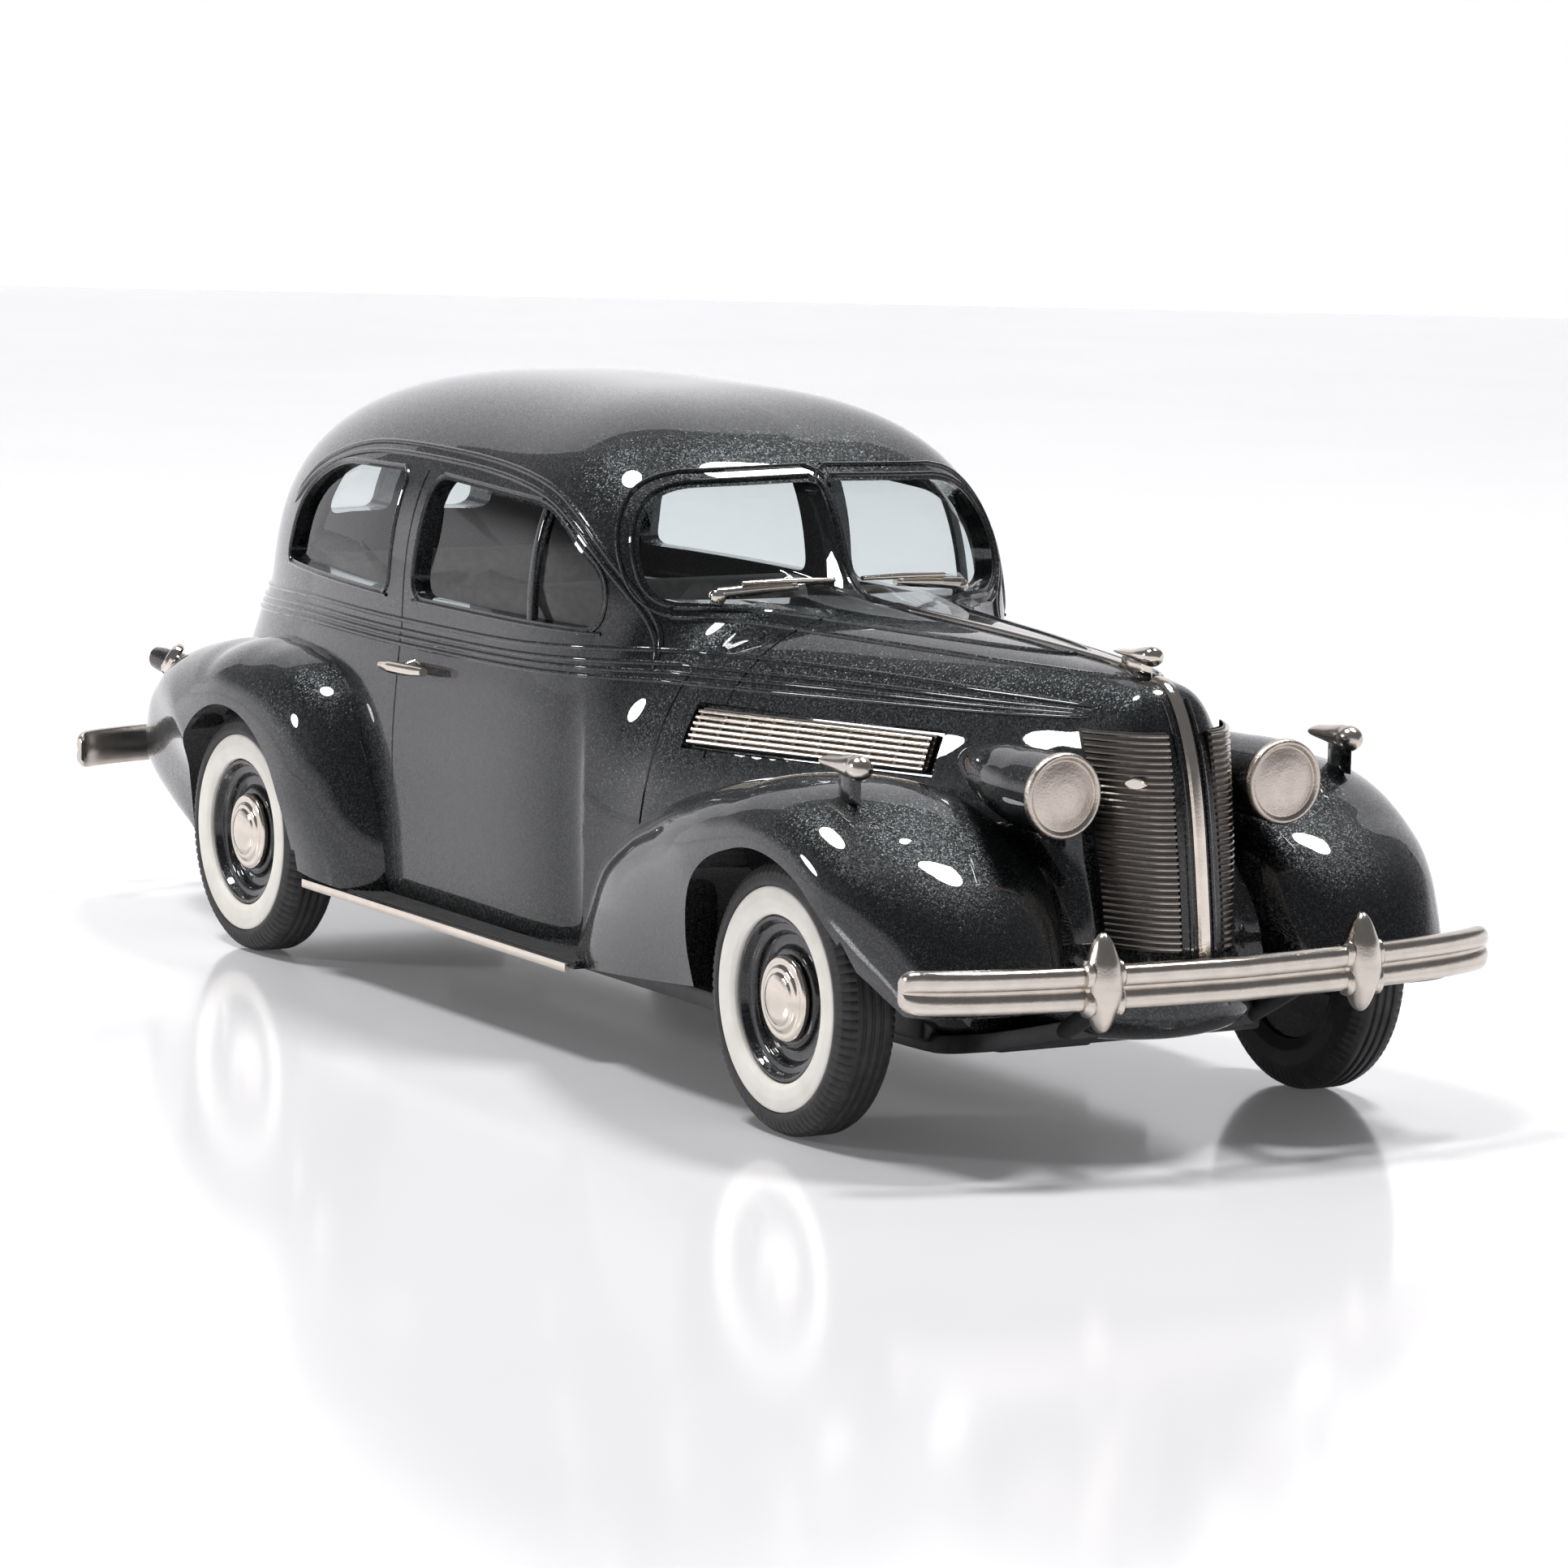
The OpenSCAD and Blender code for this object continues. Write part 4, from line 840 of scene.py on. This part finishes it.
badge_ring = rounded([(-0.95, 0), (0, 0.42), (0.95, 0), (0, -0.42)], 0.6, 6)
centre = np.array([nose_x(3.3, 21.6) + 0.18, -3.3, 21.6])
n = normal_at(np.array([[nose_x(3.3, 21.6), 3.3, 21.6]]))[0] * [1, -1, 0]
n /= np.linalg.norm(n)
t = np.array([-n[1], n[0], 0])
lay = lambda o, off: centre + t * o[:, :1] + np.array([0, 0, 1.0]) * o[:, 1:] + n * off
piece("lozenge_badge", skin(np.stack([lay(badge_ring, 0), lay(badge_ring, 0.12), lay(badge_ring * 0.9, 0.2),
                                      lay(badge_ring * 0.6, 0.22)])),
      BRIGHT, "car", ["grille_badge"], 35)


def louvre():
    """Six rounded ribs along the hood's side, tied by upright webs, on a thin backing."""
    x = np.linspace(19.75, 38.8, 50)
    shapes = []
    for i in range(6):
        z = 20.42 + 0.365 * i + (x - 21.6) * 0.02
        at = side_point(x, z)
        shapes.append(swept(at - normal_at(at) * 0.12, circle(0.155, 10, 1.25), normal_at(at)))
    for k in range(10):
        xx = 19.95 + k * 2.06
        z = np.linspace(20.3, 22.35, 12) + (xx - 21.6) * 0.02
        at = side_point(np.full(12, xx), z)
        shapes.append(swept(at - normal_at(at) * 0.16, circle(0.11, 8), normal_at(at)))
    back = []
    for xx in x:
        zz = np.array([20.3, 22.4, 22.4, 20.3]) + (xx - 21.6) * 0.02
        y = side_point(np.full(4, xx), zz)[:, 1] + np.array([-0.28, -0.28, -0.45, -0.45])
        back.append(np.stack([np.full(4, xx), y, zz], -1))
    return shapes, skin(np.stack(back))


shapes, back = louvre()
for hand, turn in (("left", lambda s: s), ("right", mirrored)):
    piece("louvre_ribs_" + hand, [turn(s) for s in shapes], NICKEL, "car", ["louvre_" + hand], 40)
    # the louvre backing's dark nickel is painted shade between the ribs
    piece("louvre_back_" + hand, turn(back), BACKING_PAINTED_SHADE, "car", (), 40)

LENS = softened([(0.001, 0.0), (2.3, 0.0), (2.52, 0.1), (2.56, 0.3), (2.52, 0.55), (2.4, 0.68), (2.26, 0.68),
                 (2.16, 0.56),
                 (2.1, 0.44), (1.9, 0.5), (1.4, 0.66), (0.8, 0.78), (0.001, 0.83)], 0.1, 5)
face_forward = np.array([[0, 0, 1], [0, 1, 0], [-1, 0, 0]], float)
DISC = nickel_look("headlamp disc", (0.64, 0.57, 0.51, 1), (0.16, 0.34), 0.8)
for hand, side in (("left", 1), ("right", -1)):
    lamp = turned(LENS, 96, (face_forward, np.array(LAMP)))
    piece("lamp_disc_" + hand, lamp if side > 0 else mirrored(lamp), DISC, "car",
          ["headlamp_" + hand], 40)

s = np.linspace(0, 1, 28)
wide = curve([(0, 0.02), (0.03, 0.36), (0.09, 0.6), (0.17, 0.76), (0.25, 0.78), (0.31, 0.7), (0.36, 0.74),
              (0.7, 0.8), (0.97, 0.82), (1, 0.76)], s)
tall = curve([(0, 0.02), (0.03, 0.36), (0.09, 0.6), (0.17, 0.76), (0.25, 0.78), (0.31, 0.7), (0.36, 0.72),
              (0.7, 0.52), (0.97, 0.36), (1, 0.3)], s)
lamp = drop([(47.05 - 4.3 * k, 17.3, 22.2 + 0.12 * k, w, h) for k, w, h in zip(s, wide, tall)])
stem = drop([(x, 17.3, 21.0, w, 0.95) for x, w in zip(np.linspace(46.3, 43.9, 14),
                                                      curve([(0, 0.03), (0.3, 0.36), (0.6, 0.34), (1, 0.03)],
                                                          np.linspace(0, 1, 14)))])
for hand, turn in (("left", lambda s: s), ("right", mirrored)):
    piece("marker_lamp_" + hand, turn(lamp), NICKEL, "car", ["fender_lamp_" + hand], 45)
    piece("marker_stem_" + hand, turn(stem), PAINT, "car", (), 45)


def rod(points, sizes, n=12, count=24, flat=1.0):
    """A round bar along points, its thickness following sizes."""
    path = resampled(points, count)
    up = np.broadcast_to([0.0, 0.0, 1.0], path.shape)
    return swept(path, circle(1.0, n, flat), up, sizes=np.interp(np.linspace(0, 1, count),
        np.linspace(0, 1, len(sizes)), sizes))


def ball(centre, r, n=20):
    a = np.linspace(-np.pi / 2 + 0.05, np.pi / 2 - 0.05, n)
    return drop([(centre[0] + r * np.sin(k), centre[1], centre[2], r * np.cos(k), r * np.cos(k)) for k in a],
                n)


wiper = [ball((14.75, 8.9, 28.55), 0.56), rod([(14.7, 8.9, 28.6), (14.4, 8.9, 28.0), (14.1, 8.9, 27.4)],
                                              [0.32, 0.34, 0.36]),
         rod([(14.8, 9.0, 28.75), (15.2, 6.4, 28.95), (15.5, 3.6, 29.1)], [0.4, 0.36, 0.26]),
         rod([(15.25, 7.4, 29.4), (15.55, 4.0, 29.45), (15.75, 1.0, 29.45)], [0.2, 0.28, 0.2], flat=0.7),
         ball((15.5, 3.9, 29.3), 0.3, 14)]
handle = [rod([(-13.2, 18.2, 21.5), (-11.2, 18.25, 21.55), (-9.2, 18.25, 21.6), (-7.1, 18.2, 21.7)],
              [0.24, 0.42, 0.42, 0.4, 0.3], 14),
          rod([(-10.9, 16.9, 21.6), (-10.9, 17.6, 21.6), (-10.9, 18.2, 21.6)], [0.62, 0.3, 0.28])]
for hand, turn in (("left", lambda s: s), ("right", mirrored)):
    piece("wiper_arm_" + hand, [turn(s) for s in wiper], BRIGHT, "car", ["wiper_" + hand], 50)
    piece("handle_" + hand, [turn(s) for s in handle], BRIGHT, "car", ["door_handle_" + hand], 50)

path = np.stack([np.linspace(-21.9, 15, 30), np.full(30, 19.33), np.full(30, 5.85)], -1)
strip = swept(path, rounded([(-0.3, -0.17), (0.3, -0.17), (0.3, 0.17), (-0.3, 0.17)], 0.1, 3),
              np.broadcast_to([0.0, 1.0, 0.0], path.shape))
mats = [swept(np.stack([np.linspace(-21.5, 15.2, 40), np.full(40, y), np.full(40, 6.14)], -1),
              circle(0.11, 8), np.broadcast_to([0.0, 0.0, 1.0], (40, 3)))
        for y in np.arange(17.0, 19.0, 0.3)]
for hand, turn in (("left", lambda s: s), ("right", mirrored)):
    piece("board_edge_" + hand, turn(strip), BRIGHT, "car", ["board_strip_" + hand], 40)
    piece("board_mat_" + hand, [turn(s) for s in mats], MAT_RUBBER, "car", (), 50)

# ---------------------------------------------------------------- bumpers
BAR = np.array([(-0.5, -0.9), (-0.2, -1.28), (0.2, -1.3), (0.5, -1.2), (0.68, -1.0), (0.74, -0.72),
                (0.7, -0.42), (0.56, -0.18),
                (0.42, -0.08), (0.42, 0.08), (0.56, 0.18), (0.7, 0.42), (0.74, 0.72), (0.68, 1.0), (0.5, 1.2),
                (0.2, 1.3),
                (-0.2, 1.28), (-0.5, 0.9)])


def bumper(height, way):
    """A bowed bar with two rounded ribs, swept-back tapered ends and two guards with collars."""
    y = 20.35 * np.sin(np.linspace(-np.pi / 2, np.pi / 2, 90))
    x = curve([(0, 60), (9, 59.3), (15, 58.3), (18.5, 57.2), (20.4, 56.1)], np.abs(y))
    end = np.clip((20.35 - np.abs(y)) / 0.9, 0, 1)
    slim = 0.55 + 0.45 * np.sqrt(1 - (1 - end) ** 2)
    rows = np.stack([np.stack([x[i] + BAR[:, 0] * slim[i], 0 * BAR[:, 0] + y[i],
                               height + BAR[:, 1] * slim[i]], -1) for i in range(90)])
    shapes = [skin(rows)]
    for gy in (-9.0, 9.0):
        k = np.linspace(-1, 1, 48)
        a = np.linspace(0, 2 * np.pi, 36, endpoint=False)
        swell = curve([(-1, 0.05), (-0.94, 0.3), (-0.82, 0.52), (-0.62, 0.76), (-0.36, 1.02), (0, 1.16),
                       (0.36, 1.02), (0.62, 0.76),
                       (0.82, 0.5), (0.94, 0.26), (1, 0.05)], k)
        shapes.append(skin(np.stack([np.stack([59.52 + (0.1 + 1.14 * s) * np.cos(a),
                                               gy + (0.08 + 0.92 * s) * np.sin(a),
                                               0 * a + height + 0.25 + 2.85 * q + 0.12 * (q > 0) * q], -1)
                                               for q, s in zip(k, swell)])))
        flare = curve([(0, 1.16), (0.35, 1.2), (0.65, 1.28), (1, 1.02)], np.linspace(0, 1, 8))
        for way_out in (-1, 1):
            shapes.append(skin(np.stack([np.stack([59.42 + BAR[:, 0] * f,
                                                   0 * BAR[:, 0] + gy + way_out * (0.55 + 0.75 * t),
                                                   height + BAR[:, 1] * f], -1)
                                         for t, f in zip(np.linspace(0, 1, 8), flare)])))
    return [((v * [way, 1, 1]), f if way > 0 else [q[::-1] for q in f]) for v, f in shapes]


piece("front_bumper_bar", bumper(10.9, 1), NICKEL, "car", ["front_bumper"], 40)
piece("rear_bumper_bar", bumper(10.5, -1), NICKEL, "car", ["rear_bumper"], 40)
irons = []
for iy in (-6.5, 6.5):
    irons.append(rod([(59.0, iy, 10.6), (57.2, iy, 9.8), (54.6, iy, 8.4), (51.5, iy, 6.8)], [0.6, 0.55, 0.5],
                     10, 20, 1.1))
    irons.append(rod([(-59.0, iy, 10.2), (-57, iy, 9.4), (-54, iy, 7.6), (-51.5, iy, 6.2)], [0.6, 0.55, 0.5],
                     10, 20, 1.1))
piece("bumper_irons", irons, BASE_BLACK, "car")

# ---------------------------------------------------------------- base pan and chin
def base_pan():
    """A shallow pan whose half width and underside follow tables along its length, turned up at the front."""
    x = np.concatenate([np.linspace(-53, 44, 70), np.linspace(45, 52.5, 12)])
    half = curve([(-53, 8), (-50, 11.3), (-23, 11.5), (-19, 15.2), (29, 15.2), (31.5, 11.5), (47, 10.2),
                  (52.5, 6.5)], x)
    low = curve([(-53, 4.6), (43, 4.6), (48, 5.3), (52.5, 6.6)], x)
    rows = []
    for a, w, z in zip(x, half, low):
        o = rounded([(-w, z), (w, z), (w, z + 1.15), (-w, z + 1.15)], 0.2, 3)
        rows.append(np.c_[np.full(len(o), a), o])
    return skin(np.stack(rows))


def slab(x0, x1, y0, y1, z0, z1, r=0.35):
    """A box lying along X with rounded edges and slightly drawn-in ends."""
    o = rounded([(y0, z0), (y1, z0), (y1, z1), (y0, z1)], r, 4)
    middle = o.mean(0)
    return skin(np.stack([np.c_[np.full(len(o), x), middle + (o - middle) * f]
                          for x, f in ((x0, 0.86), (x0 + 0.2, 0.97), (x0 + 0.5, 1), (x1 - 0.5, 1),
                                       (x1 - 0.2, 0.97), (x1, 0.86))]))


under = [base_pan(), slab(28, 40, -3.5, 3.5, 3.4, 5.0), slab(20, 28.2, -2, 2, 3.8, 5.0),
         slab(-34, -27, -2.2, 2.2, 3.6, 5.0),
         slab(-52, -44, -8, 8, 3.7, 5.0, 0.5), rod([(-30, 0, 4.6), (-4, 0, 4.6), (22, 0, 4.6)], [0.8, 0.8],
                                                   18),
         rod([(-20.4, -8, 4.6), (-20, -8, 4.6), (-13, -8, 4.6), (-6, -8, 4.6), (-5.6, -8, 4.6)],
             [0.3, 1.1, 1.1, 1.1, 0.3], 20),
         rod([(-54, -8, 4.6), (-13, -8, 4.6), (28, -8, 4.6)], [0.5, 0.5], 14)]
for axle in (FRONT_AXLE, REAR_AXLE):
    under += both(slab(axle - 2.2, axle + 2.2, 7, 11, 5.2, 10.05, 0.3))
piece("base_pan", under, BASE_BLACK, "car", ["baseplate"])

CHIN_LOW, CHIN_FULL, CHIN_TOP, CHIN_X, CHIN_LONG, CHIN_HALF = 5.95, 8.6, 9.6, 48.6, 7.3, 7.8
z = np.linspace(CHIN_LOW, CHIN_TOP, 22)
t = np.linspace(0, 2 * np.pi, 64, endpoint=False)
reach = (1 - np.clip((CHIN_FULL - z) / (CHIN_FULL - CHIN_LOW + 0.01), 0, 1) ** 2.6) ** (1 / 2.6)
piece("nose_chin", skin(np.stack([np.stack([CHIN_X + CHIN_LONG * f * np.cos(t), CHIN_HALF * f * np.sin(t),
                                            0 * t + h], -1)
                                  for h, f in zip(z, reach)])),
      PAINT, "car")

# ---------------------------------------------------------------- tail, inside and plain CAD pieces
back_turn = np.array([[0, 0, -1], [0, 1, 0], [1, 0, 0]], float)
lens = turned(softened([(0.001, 0), (0.72, 0), (0.72, 0.14), (0.62, 0.3), (0.35, 0.45), (0.001, 0.5)], 0.08),
              40, (back_turn, np.array([-56.45, 14, 16.8])))
for hand, turn in (("left", lambda s: s), ("right", mirrored)):
    piece("tail_lens_" + hand, turn(lens), RED, "car", ["tail_lamp_" + hand], 40)


def show(node, look):
    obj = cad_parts[node]
    obj.data.materials.clear()
    obj.data.materials.append(look)
    return obj


for node, look in (("interior_tub", TRIM_CLOTH), ("front_seat", TRIM_CLOTH), ("rear_seat", TRIM_CLOTH),
                   ("dashboard", PAINT), ("steering_column", PAINT), ("steering_wheel", CREAM),
                   ("fuel_cap", BRIGHT),
                   ("base_screws", STEEL), ("front_axle", STEEL), ("rear_axle", STEEL)):
    show(node, look)

# ---------------------------------------------------------------- studio
FLOOR_GLOW, CARD_GLOW = 0.06, 0.45
FLOOR_HALF = 3000
CARD_BEHIND, CARD_LEFT, CARD_RIGHT, CARD_TOP = 700, 640, 560, 820
# name, azimuth and elevation in degrees, distance, point aimed at, width, power
LIGHTS = [("right box", -124, 70, 520, (20, -5, 15), 115, 1.75),
          ("left box", 90, 70, 520, (40, 5, 15), 115, 1.75),
          ("side box", -117, 23, 620, (0, 0, 15), 90, 0.7)]
LENS, SENSOR = 148.65, 36
CAMERA_AT, CAMERA_LOOKS_AT, CAMERA_ROLL = (362.9, -209.2, 73.3), (73.85, -38.69, 26.13), 1.12

FLOOR = matte_look("white table", (0.78, 0.775, 0.79, 1), (0.82, 0.815, 0.83, 1), 0.12, 60, 0.02, 0.0002,
                   Emission_Color=(1, 0.99, 1, 1), Emission_Strength=FLOOR_GLOW)
CARD = matte_look("white card", (0.8, 0.8, 0.8, 1), (0.82, 0.82, 0.82, 1), 0.9, 60, 0.02, 0.0002,
                  Emission_Color=(0.98, 0.97, 1, 1), Emission_Strength=CARD_GLOW)


def flat_card(name, corners, look):
    """A flat four-cornered sheet of the studio."""
    obj = mesh_object(name, (np.array(corners, float), [[0, 1, 2, 3]]))
    obj.data.materials.append(look)


flat_card("floor", [(x * FLOOR_HALF, y * FLOOR_HALF, 0) for x, y in ((-1, -1), (1, -1), (1, 1), (-1, 1))],
          FLOOR)
# the backdrop stands square to the line from the camera, behind the car
behind, beside = np.array([-0.85, 0.527, 0.0]), np.array([0.527, 0.85, 0.0])
foot = behind * CARD_BEHIND
near_end, far_end, rise = foot - beside * CARD_LEFT, foot + beside * CARD_RIGHT, np.array([0, 0, CARD_TOP])
flat_card("backdrop", [near_end, far_end, far_end + rise, near_end + rise], CARD)

# the room: bright near the horizon, dark above
world = bpy.data.worlds.new("studio")
bpy.context.scene.world = world
world.use_nodes = True
room = world.node_tree
direction = room.nodes.new("ShaderNodeTexCoord")
upward = room.nodes.new("ShaderNodeSeparateXYZ")
room.links.new(direction.outputs["Generated"], upward.inputs["Vector"])
fade = room.nodes.new("ShaderNodeValToRGB")
fade.color_ramp.elements[0].position, fade.color_ramp.elements[1].position = 0.10, 0.26
fade.color_ramp.elements[0].color, fade.color_ramp.elements[1].color = (1.15, 1.13, 1.17, 1), (0.16, 0.16,
    0.17, 1)
room.links.new(upward.outputs["Z"], fade.inputs["Fac"])
room.links.new(fade.outputs["Color"], room.nodes["Background"].inputs["Color"])
bpy.context.scene.view_settings.view_transform = "Standard"


def softbox(name, at, toward, width, power):
    """A round light at a place, aimed at a point; sizes in millimetres."""
    light = bpy.data.lights.new(name, "AREA")
    light.shape, light.size, light.size_y = "ELLIPSE", width * MM, width * MM
    light.energy = power
    obj = bpy.data.objects.new(name, light)
    bpy.context.scene.collection.objects.link(obj)
    at, toward = Vector(at) * MM, Vector(toward) * MM
    obj.matrix_world = Matrix.Translation(at) @ (toward - at).to_track_quat("-Z", "Y").to_matrix().to_4x4()


def placed(azimuth, elevation, distance):
    """The point that far from the car's middle, at an azimuth from +X and an elevation above the floor."""
    a, e = np.radians(azimuth), np.radians(elevation)
    return (distance * np.cos(e) * np.cos(a), distance * np.cos(e) * np.sin(a), distance * np.sin(e))


for name, azimuth, elevation, distance, aim, width, power in LIGHTS:
    softbox(name, placed(azimuth, elevation, distance), aim, width, power)

camera_data = bpy.data.cameras.new("camera")
camera = bpy.data.objects.new("camera", camera_data)
bpy.context.scene.collection.objects.link(camera)
bpy.context.scene.camera = camera
camera_data.sensor_width, camera_data.lens = SENSOR, LENS
camera_data.clip_start, camera_data.clip_end = 0.01, 10
at, toward = Vector(CAMERA_AT) * MM, Vector(CAMERA_LOOKS_AT) * MM
camera.matrix_world = (Matrix.Translation(at) @ (toward - at).to_track_quat("-Z", "Y").to_matrix().to_4x4()
                       @ Matrix.Rotation(np.radians(CAMERA_ROLL), 4, "Z"))
